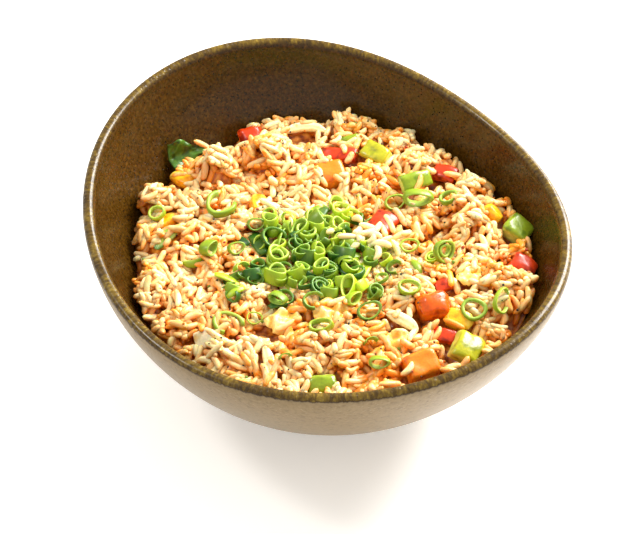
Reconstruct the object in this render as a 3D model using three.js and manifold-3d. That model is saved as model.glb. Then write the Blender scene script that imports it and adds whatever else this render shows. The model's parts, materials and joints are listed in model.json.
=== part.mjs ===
// Fried rice heaped in a deep stoneware bowl with an oval, gently waving rim.
// Millimetres, +Z up. The origin is the middle of the foot, on the table; -Y faces the diner.
import * as THREE from "three";
import { mergeVertices } from "three/addons/utils/BufferGeometryUtils.js";
import Module from "manifold-3d";

const wasm = await Module();
wasm.setup();
const { Manifold } = wasm;
const degrees = THREE.MathUtils.degToRad;

// The bowl's rim, seen from above and from the side
const RIM_RADIUS = 85.2;
const RIM_OVAL = 5.45;
const RIM_OVAL_AXIS = degrees(129);
const RIM_EGG = 1.2;
const RIM_EGG_AXIS = degrees(-10);
const RIM_SHIFT = [-1.32, -1.03];
const RIM_HEIGHT = 71;
const RIM_RISE_AT_BACK = 3.9;
const RIM_WAVE = 2.9;
const RIM_WAVE_AXIS = degrees(127);
const LIP_WIDTH = 4.2;

// The bowl's wall, floor and foot ring
const FOOT_RADIUS = 32;
const FOOT_INNER_RADIUS = 27;
const FOOT_HEIGHT = 2;
const WALL_ROUNDNESS = 1.45;
const FLOOR_RADIUS = 24;
const FLOOR_HEIGHT = 7;
const INSIDE_ROUNDNESS = 1.5;
const BOWL_SEGMENTS = 44;

// The heap of rice
const WALL_GAP = 0.8;
const CLEARANCE = 0.4;
const SMOOTHING = 0.06;
const EDGE_HEIGHT = 47;
const EDGE_LEAN = 3.7;
const EDGE_LEAN_AT = degrees(11);
const EDGE_RAGGED = 0.9;
const SHOULDER_RISE = 2.5;
const DOME_RISE = 1.5;
const CLUMPS = 34;
const CLUMP_RISE = [1.2, 3.8];
const CLUMP_WIDTH = [6.5, 10.5];
const HEAP_SEGMENTS = 30;
const HEAP_RINGS = 8;

// One cooked grain of long rice
const GRAIN_LENGTH = [6.6, 8.8];
const GRAIN_WIDTH = [2.4, 3.0];
const GRAINS = 170;
const GRAIN_SIDES = 4;

// The heap of spring onion and the loose rings
const ONION_AT = [0.5, -3];
const ONION_REACH = [31, 28];
const ONION_RISE = 2;
const ONION_RINGS = 27;
const RING_RADIUS = [2.6, 4.3];
const RING_LENGTH = [2.2, 4];
const RING_WALL = 0.9;
const RING_SIDES = 6;

const GOLDEN_ANGLE = Math.PI * (3 - Math.sqrt(5));

// A repeatable draw between 0 and 1 for item i, one stream for each k.
function draw(i, k) {
  const s = Math.sin(i * 127.1 + k * 311.7) * 43758.5453;
  return s - Math.floor(s);
}

const between = ([low, high], share) => low + (high - low) * share;

function rimRadius(a) {
  return (
    RIM_RADIUS +
    RIM_SHIFT[0] * Math.cos(a) +
    RIM_SHIFT[1] * Math.sin(a) +
    RIM_OVAL * Math.cos(2 * (a - RIM_OVAL_AXIS)) +
    RIM_EGG * Math.cos(3 * (a - RIM_EGG_AXIS))
  );
}

function rimHeight(a) {
  return (
    RIM_HEIGHT +
    RIM_RISE_AT_BACK * Math.sin(a) +
    RIM_WAVE * Math.cos(2 * (a - RIM_WAVE_AXIS))
  );
}

// How far out a wall of the given roundness is at a share of its height.
const swell = (share, roundness) =>
  (1 - (1 - Math.min(1, Math.max(0, share))) ** roundness) ** (1 / roundness);

// Inner wall's distance from the axis at height z.
function wallRadius(a, z) {
  const share = (z - FLOOR_HEIGHT) / (rimHeight(a) - FLOOR_HEIGHT);
  const reach = rimRadius(a) - LIP_WIDTH - FLOOR_RADIUS;
  return FLOOR_RADIUS + reach * swell(share, INSIDE_ROUNDNESS);
}

// A closed shell of revolution whose rings vary with the angle: each station returns [radius, z].
function turned(stations, segments) {
  const blank = stations.map((_, j) => new THREE.Vector2(1, j));
  const shell = new THREE.LatheGeometry(blank, segments);
  const position = shell.getAttribute("position");
  for (let i = 0; i <= segments; i++) {
    const a = ((i % segments) / segments) * 2 * Math.PI;
    stations.forEach((station, j) => {
      const [r, z] = station(a);
      position.setXYZ(i * stations.length + j, r * Math.cos(a), r * Math.sin(a), z);
    });
  }
  return shell;
}

function solidOf(geometry) {
  const bare = geometry.clone();
  bare.deleteAttribute("normal");
  bare.deleteAttribute("uv");
  const merged = mergeVertices(bare, 1e-3);
  const index = Array.from(merged.index.array);
  const whole = [];
  for (let i = 0; i < index.length; i += 3) {
    const [p, q, r] = index.slice(i, i + 3);
    if (p !== q && q !== r && r !== p) whole.push(p, q, r);
  }
  const vertProperties = Float32Array.from(merged.getAttribute("position").array);
  const made = (triVerts) =>
    new Manifold(new wasm.Mesh({ numProp: 3, vertProperties, triVerts }));
  const solid = made(Uint32Array.from(whole));
  return solid.volume() > 0 ? solid : made(Uint32Array.from(whole.reverse()));
}

// Clears slivers finer than SMOOTHING, fills sealed hollows and drops loose scraps.
function mainBody(solid) {
  const bodies = solid.asOriginal().simplify(SMOOTHING).decompose();
  return bodies.reduce((a, b) => (b.volume() > a.volume() ? b : a));
}

function meshOf(name, solid, material) {
  const m = solid.getMesh();
  const points = new Float32Array(m.numVert * 3);
  for (let i = 0; i < m.numVert; i++) {
    const from = i * m.numProp;
    points.set(m.vertProperties.subarray(from, from + 3), i * 3);
  }
  const geometry = new THREE.BufferGeometry()
    .setAttribute("position", new THREE.BufferAttribute(points, 3))
    .setIndex(new THREE.BufferAttribute(m.triVerts, 1));
  geometry.computeVertexNormals();
  const mesh = new THREE.Mesh(geometry, material);
  mesh.name = name;
  return mesh;
}

const finish = (color, roughness) =>
  new THREE.MeshStandardMaterial({ color, roughness, metalness: 0 });
const glaze = finish("#4a3517", 0.28);
const riceFinish = finish("#f0c08a", 0.55);
const onionGreen = finish("#8fc23a", 0.4);
const pepperRed = finish("#d8301c", 0.3);
const pepperGreen = finish("#9fb928", 0.35);
const carrotOrange = finish("#ee7a1e", 0.4);
const cornYellow = finish("#f6b41a", 0.3);
const eggYellow = finish("#f3d27a", 0.5);
const onionPale = finish("#efdcae", 0.4);
const leafGreen = finish("#4d7433", 0.45);

// The bowl: foot ring, rounded wall, rounded lip, inner wall and floor.
function bowl() {
  const outer = (share) => (a) => {
    const reach = rimRadius(a) - FOOT_RADIUS;
    const low = FOOT_HEIGHT;
    return [
      FOOT_RADIUS + reach * swell(share, WALL_ROUNDNESS),
      low + (rimHeight(a) - LIP_WIDTH / 2 - low) * share,
    ];
  };
  const lip = (turn) => (a) => [
    rimRadius(a) - (LIP_WIDTH / 2) * (1 - Math.cos(turn)),
    rimHeight(a) - (LIP_WIDTH / 2) * (1 - Math.sin(turn)),
  ];
  const inner = (share) => (a) => {
    const z = FLOOR_HEIGHT + (rimHeight(a) - LIP_WIDTH / 2 - FLOOR_HEIGHT) * share;
    return [wallRadius(a, z), z];
  };
  const stations = [
    () => [0, FOOT_HEIGHT],
    () => [FOOT_INNER_RADIUS, FOOT_HEIGHT],
    () => [FOOT_INNER_RADIUS + 1, 0],
    () => [FOOT_RADIUS - 0.5, 0],
    ...[0.02, 0.12, 0.25, 0.4, 0.58, 0.78, 1].map(outer),
    ...[0.25, 0.5, 0.75].map((share) => lip(share * Math.PI)),
    ...[1, 0.8, 0.6, 0.42, 0.27, 0.14, 0.05].map(inner),
    () => [FLOOR_RADIUS, FLOOR_HEIGHT],
    () => [0, FLOOR_HEIGHT],
  ];
  return solidOf(turned(stations, BOWL_SEGMENTS));
}

const edgeHeight = (a) => EDGE_HEIGHT + EDGE_LEAN * Math.cos(a - EDGE_LEAN_AT);

function edgeRadius(a) {
  const ragged = (2 + Math.sin(5 * a + 1) + Math.sin(9 * a + 4)) / 4;
  return wallRadius(a, edgeHeight(a)) - WALL_GAP - EDGE_RAGGED * ragged;
}

// The uneven outline of the spring onion heap at angle a about its middle, let out by grow.
function onionEdge(a, grow = 0) {
  const waves = 0.07 * Math.sin(3 * a + 1) + 0.05 * Math.sin(5 * a + 2) + 0.03 * Math.sin(9 * a);
  const uneven = 1 + waves;
  const x = (ONION_REACH[0] * uneven + grow) * Math.cos(a);
  const y = (ONION_REACH[1] * uneven + grow) * Math.sin(a);
  return new THREE.Vector2(ONION_AT[0] + x, ONION_AT[1] + y);
}

// Share of the way from the middle of the spring onion heap to its outline: below 1 is inside.
function inOnion(x, y) {
  const a = Math.atan2((y - ONION_AT[1]) / ONION_REACH[1], (x - ONION_AT[0]) / ONION_REACH[0]);
  const edge = onionEdge(a);
  const reach = Math.hypot(edge.x - ONION_AT[0], edge.y - ONION_AT[1]);
  return Math.hypot(x - ONION_AT[0], y - ONION_AT[1]) / reach;
}

// The clumps that the rice lies in, spread over the heap by the golden angle.
const clumps = Array.from({ length: CLUMPS }, (_, i) => {
  const a = i * GOLDEN_ANGLE + draw(i, 1);
  const r = 64 * Math.sqrt((i + 0.5) / CLUMPS) + 6 * (draw(i, 2) - 0.5);
  return {
    x: r * Math.cos(a),
    y: r * Math.sin(a),
    rise: between(CLUMP_RISE, draw(i, 3)),
    width: between(CLUMP_WIDTH, draw(i, 4)),
  };
});

function relief(x, y) {
  return clumps.reduce((sum, c) => {
    const far = ((x - c.x) ** 2 + (y - c.y) ** 2) / c.width ** 2;
    return sum + c.rise * Math.exp(-far);
  }, 0);
}

// Height of the bare heap's top at (x, y), before any grain is laid on it: smooth under the onion.
function heapTop(x, y) {
  const a = Math.atan2(y, x);
  const t = Math.min(1, Math.hypot(x, y) / edgeRadius(a));
  const rise = SHOULDER_RISE * (1 - t ** 8) + DOME_RISE * (1 - t * t);
  const lumpy = THREE.MathUtils.smoothstep(inOnion(x, y), 0.85, 1.35);
  const base = EDGE_HEIGHT + (edgeHeight(a) - EDGE_HEIGHT) * t;
  return base + rise + relief(x, y) * lumpy * (1 - t ** 12);
}

// The heap without its grains. lift raises the top, for trimming what lies on it.
function heapCore(lift) {
  const low = FLOOR_HEIGHT + WALL_GAP;
  const under = (share) => (a) => {
    const z = low + (edgeHeight(a) - low) * share;
    return [Math.min(wallRadius(a, z) - WALL_GAP, edgeRadius(a)), z];
  };
  const top = (share) => (a) => {
    const r = edgeRadius(a) * share;
    return [r, heapTop(r * Math.cos(a), r * Math.sin(a)) + lift];
  };
  const rings = Array.from({ length: HEAP_RINGS - 1 }, (_, i) => {
    const inward = 1 - (i + 1) / HEAP_RINGS;
    return inward ** 0.8;
  });
  const stations = [
    () => [0, low],
    () => [FLOOR_RADIUS - 1, low],
    ...[0.12, 0.38, 0.7].map(under),
    (a) => [edgeRadius(a), edgeHeight(a)],
    ...rings.map(top),
    () => [0, heapTop(0, 0) + lift],
  ];
  return solidOf(turned(stations, HEAP_SEGMENTS));
}

// Outward direction of the heap's top at (x, y).
function heapNormal(x, y) {
  const step = 2;
  const slopeX = (heapTop(x + step, y) - heapTop(x - step, y)) / (2 * step);
  const slopeY = (heapTop(x, y + step) - heapTop(x, y - step)) / (2 * step);
  return new THREE.Vector3(-slopeX, -slopeY, 1).normalize();
}

// Places a shape on the heap: its own Z follows the heap's normal, then it turns and tips.
function onHeap(x, y, { lift = 0, turn = 0, tip = 0, roll = 0 }) {
  const up = new THREE.Vector3(0, 0, 1);
  const stand = new THREE.Quaternion().setFromUnitVectors(up, heapNormal(x, y));
  const spin = new THREE.Euler(degrees(tip), degrees(roll), degrees(turn), "ZXY");
  const place = new THREE.Vector3(x, y, heapTop(x, y) + lift);
  return new THREE.Matrix4().compose(
    place,
    stand.multiply(new THREE.Quaternion().setFromEuler(spin)),
    new THREE.Vector3(1, 1, 1),
  );
}

function pinch(geometry, shape) {
  const position = geometry.getAttribute("position");
  const p = new THREE.Vector3();
  for (let i = 0; i < position.count; i++) {
    p.fromBufferAttribute(position, i);
    shape(p);
    position.setXYZ(i, p.x, p.y, p.z);
  }
  return geometry;
}

// A grain: four flat sides, blunt ends, lying along X.
function grain(length, width) {
  const blank = new THREE.SphereGeometry(0.5, GRAIN_SIDES, 3);
  blank.rotateZ(Math.PI / 2);
  return pinch(blank, (p) => p.set(p.x * length, p.y * width * 1.15, p.z * width * 1.1));
}

// A diced vegetable: a block with uneven corners and a skin side that may bow.
function dice([length, width, height], { seed, bow = 0 }) {
  const block = new THREE.BoxGeometry(1, 1, 1, 2, 2, 1);
  return pinch(block, (p) => {
    const corner = Math.round(p.x + 1) + 3 * Math.round(p.y + 1) + 9 * Math.round(p.z + 1);
    const uneven = (k) => 1 + 0.22 * (draw(corner + 31 * seed, k) - 0.5);
    const arch = bow * (1 - (p.x * p.x + p.y * p.y) * 2);
    p.set(p.x * length * uneven(5), p.y * width * uneven(6), p.z * height * uneven(7) + arch);
  });
}

// A corn kernel: broad flat crown, narrow tip.
function kernel([length, width, height]) {
  const blank = new THREE.SphereGeometry(0.5, 8, 5);
  blank.rotateZ(Math.PI / 2);
  return pinch(blank, (p) => {
    const taper = 1 - 0.42 * Math.max(0, p.x + 0.1);
    p.set(p.x * length, p.y * width * taper, p.z * height * taper);
  });
}

// A torn, lumpy flake of fried egg.
function flake([length, width, height], { seed }) {
  const blank = new THREE.SphereGeometry(0.5, 9, 5);
  return pinch(blank, (p) => {
    const a = Math.atan2(p.y, p.x);
    const torn = 1 + 0.2 * Math.sin(3 * a + seed) + 0.14 * Math.sin(5 * a + 2 * seed);
    const lump = 1 + 0.3 * Math.sin(7 * p.x + seed) * Math.cos(6 * p.y);
    p.set(p.x * length * torn, p.y * width * torn, p.z * height * lump);
  });
}

// A strip bent to an arc: thin slices of onion, cabbage and the cut leaf of spring onion.
function strip([length, width, height], { bend }) {
  const block = new THREE.BoxGeometry(1, 1, 1, 6, 1, 1);
  const radius = length / Math.max(0.01, Math.abs(bend));
  return pinch(block, (p) => {
    const a = p.x * bend;
    const end = 1 - 0.5 * Math.abs(2 * p.x) ** 3;
    const r = radius + p.y * width * end;
    p.set(Math.sin(a) * r, (Math.cos(a) * r - radius) * Math.sign(bend || 1), p.z * height);
  });
}

// A tube slice of spring onion: its wall stands along Z. open leaves that share of the ring out.
function ring(radius, length, wall, open) {
  const step = (2 * Math.PI * (1 - open)) / RING_SIDES;
  const corners = (r) =>
    Array.from({ length: RING_SIDES + (open ? 1 : 0) }, (_, k) =>
      new THREE.Vector2(r * Math.cos(k * step), r * Math.sin(k * step)),
    );
  const outline = new THREE.Shape();
  const rim = corners(radius);
  const bore = corners(radius - wall);
  if (open) {
    outline.setFromPoints([...rim, ...bore.reverse()]);
  } else {
    outline.setFromPoints(rim);
    outline.holes.push(new THREE.Path(bore.reverse()));
  }
  const tube = new THREE.ExtrudeGeometry(outline, { depth: length, bevelEnabled: false, steps: 1 });
  return tube.translate(0, 0, -length / 2);
}

// A piece of leaf: a thin wavy sheet with a fold along its middle.
function leaf([length, width, height]) {
  const sheet = new THREE.BoxGeometry(1, 1, 1, 5, 4, 1);
  return pinch(sheet, (p) => {
    const fold = 2.2 * Math.abs(p.y) * 2;
    const wave = 0.9 * Math.sin(6 * p.x + 1) * (0.4 + Math.abs(p.y));
    const point = 1 - 0.55 * Math.max(0, p.x) * 2 * Math.abs(p.y);
    p.set(p.x * length * point, p.y * width * (1 - 0.3 * p.x), p.z * height + fold + wave);
  });
}

// Every piece as large as a berry, by where it lies on the heap and how it leans.
const toppings = [
  {
    name: "leaf_back_left", make: leaf, material: leafGreen, size: [13, 12, 0.9],
    at: [-51.2, 50.5], lift: 5, turn: 20, tip: 58,
  },
  {
    name: "corn_back_left", make: kernel, material: cornYellow, size: [12, 6, 5],
    at: [-52.3, 37.5], lift: 1.4, turn: 140, tip: 0, roll: -12,
  },
  {
    name: "pepper_red_back_left", make: dice, material: pepperRed, size: [9, 8, 6], bow: 1.5,
    at: [-27.6, 60.5], lift: 1, turn: 20, tip: 40,
  },
  {
    name: "onion_slice_back", make: strip, material: onionPale, size: [17, 3.6, 1.8], bend: 1.1,
    at: [-7.4, 63], lift: 3, turn: -4, tip: 35,
  },
  {
    name: "pepper_red_back", make: dice, material: pepperRed, size: [13, 5.5, 3.5], bow: 1,
    at: [5.2, 47], lift: 0.8, turn: -6, tip: 25,
  },
  {
    name: "pepper_green_back", make: dice, material: pepperGreen, size: [8, 4.6, 3.2], bow: 0.8,
    at: [8.8, 53], lift: 1, turn: 8, tip: 30,
  },
  {
    name: "pepper_yellow_back", make: dice, material: pepperGreen, size: [10.5, 7, 4.8], bow: 0.8,
    at: [18.6, 45.3], lift: 1.6, turn: -38, tip: 22,
  },
  {
    name: "carrot_back", make: dice, material: carrotOrange, size: [10, 9, 6], bow: 0.6,
    at: [2.2, 35.3], lift: 1, turn: 12, tip: 25,
  },
  {
    name: "pepper_green_back_right", make: dice, material: pepperGreen, size: [11.5, 6, 3.4], bow: 1.2,
    at: [32.3, 27], lift: 0.8, turn: 24, tip: 14,
  },
  {
    name: "pepper_dark_back_right", make: dice, material: pepperRed, size: [8.5, 6, 3.6], bow: 1.2,
    at: [43.6, 34.5], lift: 0.8, turn: -30, tip: 24,
  },
  {
    name: "corn_right", make: kernel, material: cornYellow, size: [10, 8, 5.5],
    at: [59.6, 12.8], lift: 1.4, turn: 66, tip: 12, roll: 10,
  },
  {
    name: "pepper_green_right", make: dice, material: pepperGreen, size: [9.5, 9, 6], bow: 0.8,
    at: [68, 6], lift: 2, turn: -28, tip: 14, roll: 14,
  },
  {
    name: "pepper_red_right", make: dice, material: pepperRed, size: [9.5, 7, 4.4], bow: 1.2,
    at: [69, -10.8], lift: 0.8, turn: -24, tip: 14, roll: 10,
  },
  {
    name: "pepper_red_middle", make: dice, material: pepperRed, size: [10, 8.5, 4.8], bow: 1.4,
    at: [20.8, 8.8], lift: 1.2, turn: 58, tip: 8,
  },
  {
    name: "pepper_red_front", make: dice, material: carrotOrange, size: [10.5, 9.5, 7.5], bow: 1.8,
    at: [36.7, -33], lift: 2, turn: 14, tip: 14,
  },
  {
    name: "corn_front", make: kernel, material: cornYellow, size: [10, 8, 5.8],
    at: [45.4, -37.6], lift: 1.6, turn: -14, tip: 10, roll: 6,
  },
  {
    name: "pepper_green_front", make: dice, material: pepperGreen, size: [10.5, 9.5, 6], bow: 1.2,
    at: [47.1, -50.4], lift: 1.6, turn: 66, tip: 22,
  },
  {
    name: "carrot_front", make: dice, material: carrotOrange, size: [11, 9.5, 7], bow: 0,
    at: [31.9, -57.2], lift: 1.4, turn: 26, tip: 14,
  },
  {
    name: "corn_middle", make: kernel, material: cornYellow, size: [9, 7.5, 5.5],
    at: [-23.8, 22.2], lift: 0.8, turn: 100, tip: 12,
  },
  {
    name: "corn_left", make: kernel, material: cornYellow, size: [8, 6, 5],
    at: [-56.1, 16.4], lift: 0.6, turn: 30, tip: 10,
  },
  {
    name: "spring_onion_left", make: strip, material: onionGreen, size: [11, 5, 1.6], bend: 0.9,
    at: [-56.9, 6], lift: 1.6, turn: 42, tip: 12,
  },
  {
    name: "egg_front", make: flake, material: eggYellow, size: [13, 10, 5],
    at: [3.3, -32.8], lift: 1.4, turn: 20, tip: 8,
  },
  {
    name: "egg_middle", make: flake, material: eggYellow, size: [13, 8, 4.5],
    at: [-14.1, -36], lift: 1, turn: 35, tip: 4,
  },
  {
    name: "egg_right", make: flake, material: eggYellow, size: [10, 7.5, 4.2],
    at: [24.4, -46], lift: 0.8, turn: -25, tip: 6,
  },
  {
    name: "egg_back_right", make: flake, material: eggYellow, size: [10, 8.5, 3.6],
    at: [50, -18.6], lift: 0.8, turn: 40, tip: 8,
  },
  {
    name: "onion_strip_front", make: strip, material: onionPale, size: [12.5, 4.2, 2], bend: 0.5,
    at: [26.4, -38.6], lift: 1.8, turn: -32, tip: 14,
  },
  {
    name: "pepper_skin_front", make: dice, material: pepperRed, size: [8.5, 5, 2.6], bow: 0.8,
    at: [40, -43.4], lift: 0.3, turn: -18, tip: 16,
  },
  {
    name: "pepper_skin_right", make: dice, material: pepperRed, size: [5.8, 4.8, 2.4], bow: 0.8,
    at: [40.8, -22], lift: 0.4, turn: 24, tip: 18,
  },
  {
    name: "cabbage_left", make: dice, material: onionPale, size: [7.5, 7, 3.5], bow: 0.5,
    at: [-40.5, -43], lift: 0.8, turn: 8, tip: 20,
  },
  {
    name: "sprout_front", make: strip, material: onionPale, size: [17, 4, 2.6], bend: 0.5,
    at: [-18.3, -57.4], lift: 1.5, turn: -82, tip: 8,
  },
  {
    name: "pepper_green_rim", make: dice, material: pepperGreen, size: [9.5, 7, 5], bow: 1.4,
    at: [-1.1, -64], lift: 0.9, turn: 6, tip: 24,
  },
];

function toppingSolid(t, i, grow) {
  const size = t.size.map((s) => s + 2 * grow);
  const shape = t.make(size, { seed: i + 1, bow: t.bow, bend: t.bend });
  return solidOf(shape.applyMatrix4(onHeap(...t.at, t)));
}

// The upper part of the room inside the bowl, less the gap to the wall.
function room() {
  const wall = (z) => (a) => [wallRadius(a, z) - WALL_GAP, z];
  const above = (a) => [wallRadius(a, 62) - WALL_GAP, 90];
  const stations = [() => [0, 30], ...[30, 38, 46, 54, 62].map(wall), above, () => [0, 90]];
  return solidOf(turned(stations, HEAP_SEGMENTS));
}

// The upright column that the spring onion heap keeps to.
function onionColumn(grow) {
  const outline = Array.from({ length: 24 }, (_, k) => onionEdge((k / 24) * 2 * Math.PI, grow));
  const tall = { depth: 70, bevelEnabled: false };
  const column = new THREE.ExtrudeGeometry(new THREE.Shape(outline), tall);
  return solidOf(column.translate(0, 0, 30));
}

// Loose rings and bits of spring onion, each fused to the rice where it lies.
const strays = [
  { at: [25, 18.2], radius: 3.4, length: 2.6, turn: 20, tip: 34 },
  { at: [33, 17.2], radius: 4.4, length: 4, turn: 0, tip: 40 },
  { at: [41.4, -9.6], radius: 4.2, length: 2.6, turn: 40, tip: 58 },
  { at: [60, -33], radius: 4.4, length: 2, turn: 70, tip: 48 },
  { at: [50.4, -35.6], radius: 4.3, length: 2.2, turn: 0, tip: 6 },
  { at: [-33.1, -39.2], radius: 5, length: 2.2, turn: 0, tip: 12, open: 0.2 },
  { at: [-24.2, -35.2], radius: 2.5, length: 2.2, turn: 0, tip: 20 },
  { at: [-40.9, -3.1], radius: 2.9, length: 4.6, turn: 60, tip: 70 },
  { at: [-46, -7.8], radius: 2.4, length: 4, turn: 10, tip: 66 },
  { at: [-37.4, 20.5], radius: 6, length: 3, turn: 100, tip: 8, open: 0.24 },
  { at: [-60.4, 17.6], radius: 3, length: 2.4, turn: 0, tip: 20 },
  { at: [43.9, 16.3], radius: 3.4, length: 2.4, turn: 0, tip: 14 },
  { at: [-1.5, -43.2], radius: 3.3, length: 4, turn: 0, tip: 34 },
  { at: [14.9, -37], radius: 3.8, length: 3, turn: 24, tip: 30 },
  { at: [17.9, -59], radius: 2.8, length: 3, turn: 0, tip: 60 },
  { at: [-13.2, -56.4], radius: 2.4, length: 3, turn: 40, tip: 30 },
  { at: [28.6, -27.5], radius: 3.4, length: 3.2, turn: 0, tip: 24 },
];

// A ring of spring onion on the heap.
function onionRing({ at, radius, length, lift = 0, turn, tip, open = 0 }) {
  const shape = ring(radius, length, RING_WALL, open);
  return solidOf(shape.applyMatrix4(onHeap(...at, { lift: lift + length * 0.3, turn, tip })));
}

// Rings of spring onion piled on a low core that follows the rice below it.
function onionHeap() {
  const dome = new THREE.SphereGeometry(1, 16, 6);
  dome.rotateX(Math.PI / 2);
  pinch(dome, (p) => {
    const edge = onionEdge(Math.atan2(p.y, p.x));
    const out = 0.92 * Math.hypot(p.x, p.y);
    const x = ONION_AT[0] + (edge.x - ONION_AT[0]) * out;
    const y = ONION_AT[1] + (edge.y - ONION_AT[1]) * out;
    p.set(x, y, heapTop(x, y) + CLEARANCE + p.z * ONION_RISE + 0.3);
  });
  const rings = Array.from({ length: ONION_RINGS }, (_, i) => {
    const edge = onionEdge(i * GOLDEN_ANGLE);
    const out = Math.sqrt((i + 0.5) / ONION_RINGS) * 0.86;
    const x = ONION_AT[0] + (edge.x - ONION_AT[0]) * out + 2 * (draw(i, 11) - 0.5);
    const y = ONION_AT[1] + (edge.y - ONION_AT[1]) * out + 2 * (draw(i, 12) - 0.5);
    return onionRing({
      at: [x, y],
      radius: between(RING_RADIUS, draw(i, 13)),
      length: between(RING_LENGTH, draw(i, 14)),
      lift: ONION_RISE * (1 - out * out) - 0.4,
      turn: 360 * draw(i, 15),
      tip: 68 * draw(i, 16),
    });
  });
  return Manifold.union([solidOf(dome), ...rings]);
}

// Grains over the whole heap, evenly by the golden angle, except under the spring onion.
function grains() {
  const laid = [];
  for (let i = 0; i < GRAINS; i++) {
    const a = i * GOLDEN_ANGLE + 0.5 * draw(i, 21);
    const out = Math.sqrt((i + 0.5) / GRAINS);
    const r = (edgeRadius(a) - 1.2) * out;
    const x = r * Math.cos(a);
    const y = r * Math.sin(a);
    if (inOnion(x, y) < 1.04) continue;
    const shape = grain(between(GRAIN_LENGTH, draw(i, 22)), between(GRAIN_WIDTH, draw(i, 23)));
    const lean = { lift: 0.5, turn: 360 * draw(i, 24), roll: 44 * (draw(i, 25) - 0.5) };
    laid.push(solidOf(shape.applyMatrix4(onHeap(x, y, lean))));
  }
  return laid;
}

const space = room();
const laid = [];
for (const [i, t] of toppings.entries()) {
  let solid = toppingSolid(t, i, 0).intersect(space);
  for (const other of laid) solid = solid.subtract(other.grown);
  laid.push({ ...t, solid: mainBody(solid), grown: toppingSolid(t, i, CLEARANCE) });
}
const pockets = Manifold.union(laid.map((t) => t.grown));
const onTop = Manifold.union([...grains(), ...strays.map(onionRing)]).intersect(space);
const rice = mainBody(heapCore(0).add(onTop.subtract(onionColumn(CLEARANCE))).subtract(pockets));
const onion = mainBody(
  onionHeap().intersect(onionColumn(0)).subtract(heapCore(CLEARANCE)).subtract(pockets),
);

const dish = new THREE.Group();
dish.name = "fried_rice";
dish.add(meshOf("bowl", bowl(), glaze));
dish.add(meshOf("rice", rice, riceFinish));
dish.add(meshOf("spring_onion", onion, onionGreen));
for (const t of laid) dish.add(meshOf(t.name, t.solid, t.material));
export default dish;
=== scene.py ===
"""Fried rice heaped in a deep oval stoneware bowl, with spring onion and diced vegetables.

Lengths in the formulas are millimetres; meshes are in metres, in the frame of the CAD model.
"""

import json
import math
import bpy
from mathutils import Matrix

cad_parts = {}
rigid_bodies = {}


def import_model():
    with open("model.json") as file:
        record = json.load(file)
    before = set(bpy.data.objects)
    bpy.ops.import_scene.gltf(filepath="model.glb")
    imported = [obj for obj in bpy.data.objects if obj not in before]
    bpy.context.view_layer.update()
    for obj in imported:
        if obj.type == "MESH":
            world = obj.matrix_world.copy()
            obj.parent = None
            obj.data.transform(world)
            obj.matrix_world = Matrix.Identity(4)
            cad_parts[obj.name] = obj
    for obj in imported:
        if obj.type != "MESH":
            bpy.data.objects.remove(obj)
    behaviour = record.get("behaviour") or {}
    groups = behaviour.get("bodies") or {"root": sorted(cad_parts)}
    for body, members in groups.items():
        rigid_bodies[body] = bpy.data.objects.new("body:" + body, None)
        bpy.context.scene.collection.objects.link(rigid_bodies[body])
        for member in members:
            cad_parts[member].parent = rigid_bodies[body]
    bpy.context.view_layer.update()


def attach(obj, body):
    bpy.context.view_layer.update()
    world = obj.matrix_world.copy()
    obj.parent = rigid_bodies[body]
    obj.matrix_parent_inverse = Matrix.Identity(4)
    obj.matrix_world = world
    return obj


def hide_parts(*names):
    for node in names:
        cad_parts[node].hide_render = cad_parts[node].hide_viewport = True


bl_info = {
    "name": "Fried Rice Bowl",
    "version": (1, 0, 0),
    "blender": (4, 5, 0),
    "location": "View3D > Sidebar > Fried Rice",
    "description": "Builds a stoneware bowl of fried rice around its CAD model",
    "category": "Add Mesh",
}

import bmesh
import bpy
import numpy as np
from mathutils import Euler, Matrix, Vector, noise

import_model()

MM = 0.001

# The bowl's rim, wall and foot, as in the CAD model
RIM_RADIUS = 85.2
RIM_OVAL = 5.45
RIM_OVAL_AXIS = math.radians(129)
RIM_EGG = 1.2
RIM_EGG_AXIS = math.radians(-10)
RIM_SHIFT = (-1.32, -1.03)
RIM_HEIGHT = 71
RIM_RISE_AT_BACK = 3.9
RIM_WAVE = 2.9
RIM_WAVE_AXIS = math.radians(127)
LIP_WIDTH = 4.2
FOOT_RADIUS = 32
FOOT_INNER_RADIUS = 27
FOOT_HEIGHT = 2
WALL_ROUNDNESS = 1.45
FLOOR_RADIUS = 24
FLOOR_HEIGHT = 7
INSIDE_ROUNDNESS = 1.5

# The heap of rice, as in the CAD model
WALL_GAP = 0.8
EDGE_HEIGHT = 47
EDGE_LEAN = 3.7
EDGE_LEAN_AT = math.radians(11)
EDGE_RAGGED = 0.9
SHOULDER_RISE = 2.5
DOME_RISE = 1.5
CLUMPS = 34
CLUMP_RISE = (1.2, 3.8)
CLUMP_WIDTH = (6.5, 10.5)
ONION_AT = (0.5, -3)
ONION_REACH = (31, 28)
GOLDEN_ANGLE = math.pi * (3 - math.sqrt(5))

# Settling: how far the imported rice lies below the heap's top, how far a grain sinks into what it
# lies on, and the share of its width that keeps others off
CORE_SINK = 3.5
GRAIN_SINK = 1.65
GRAIN_SPREAD = 0.55

# Loose grains: steepest slope, highest place over the heap, room to the wall, share broken
STEEPEST_GRAIN = 0.85
GRAIN_RISE = 0.9
WALL_ROOM = 1.0
BROKEN_SHARE = 0.3

# Shares of the grains that lie on a topping or lean on one, and how high a leaning one may reach
ON_TOPPING_SHARE = 0.02
LEANING_SHARE = 0.14
LEANING_RISE = 4

# The square field of heights that grains and rings settle on
CELL = 0.5
FIELD_HALF = 90
FIELD_SIZE = int(2 * FIELD_HALF / CELL) + 1

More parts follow.
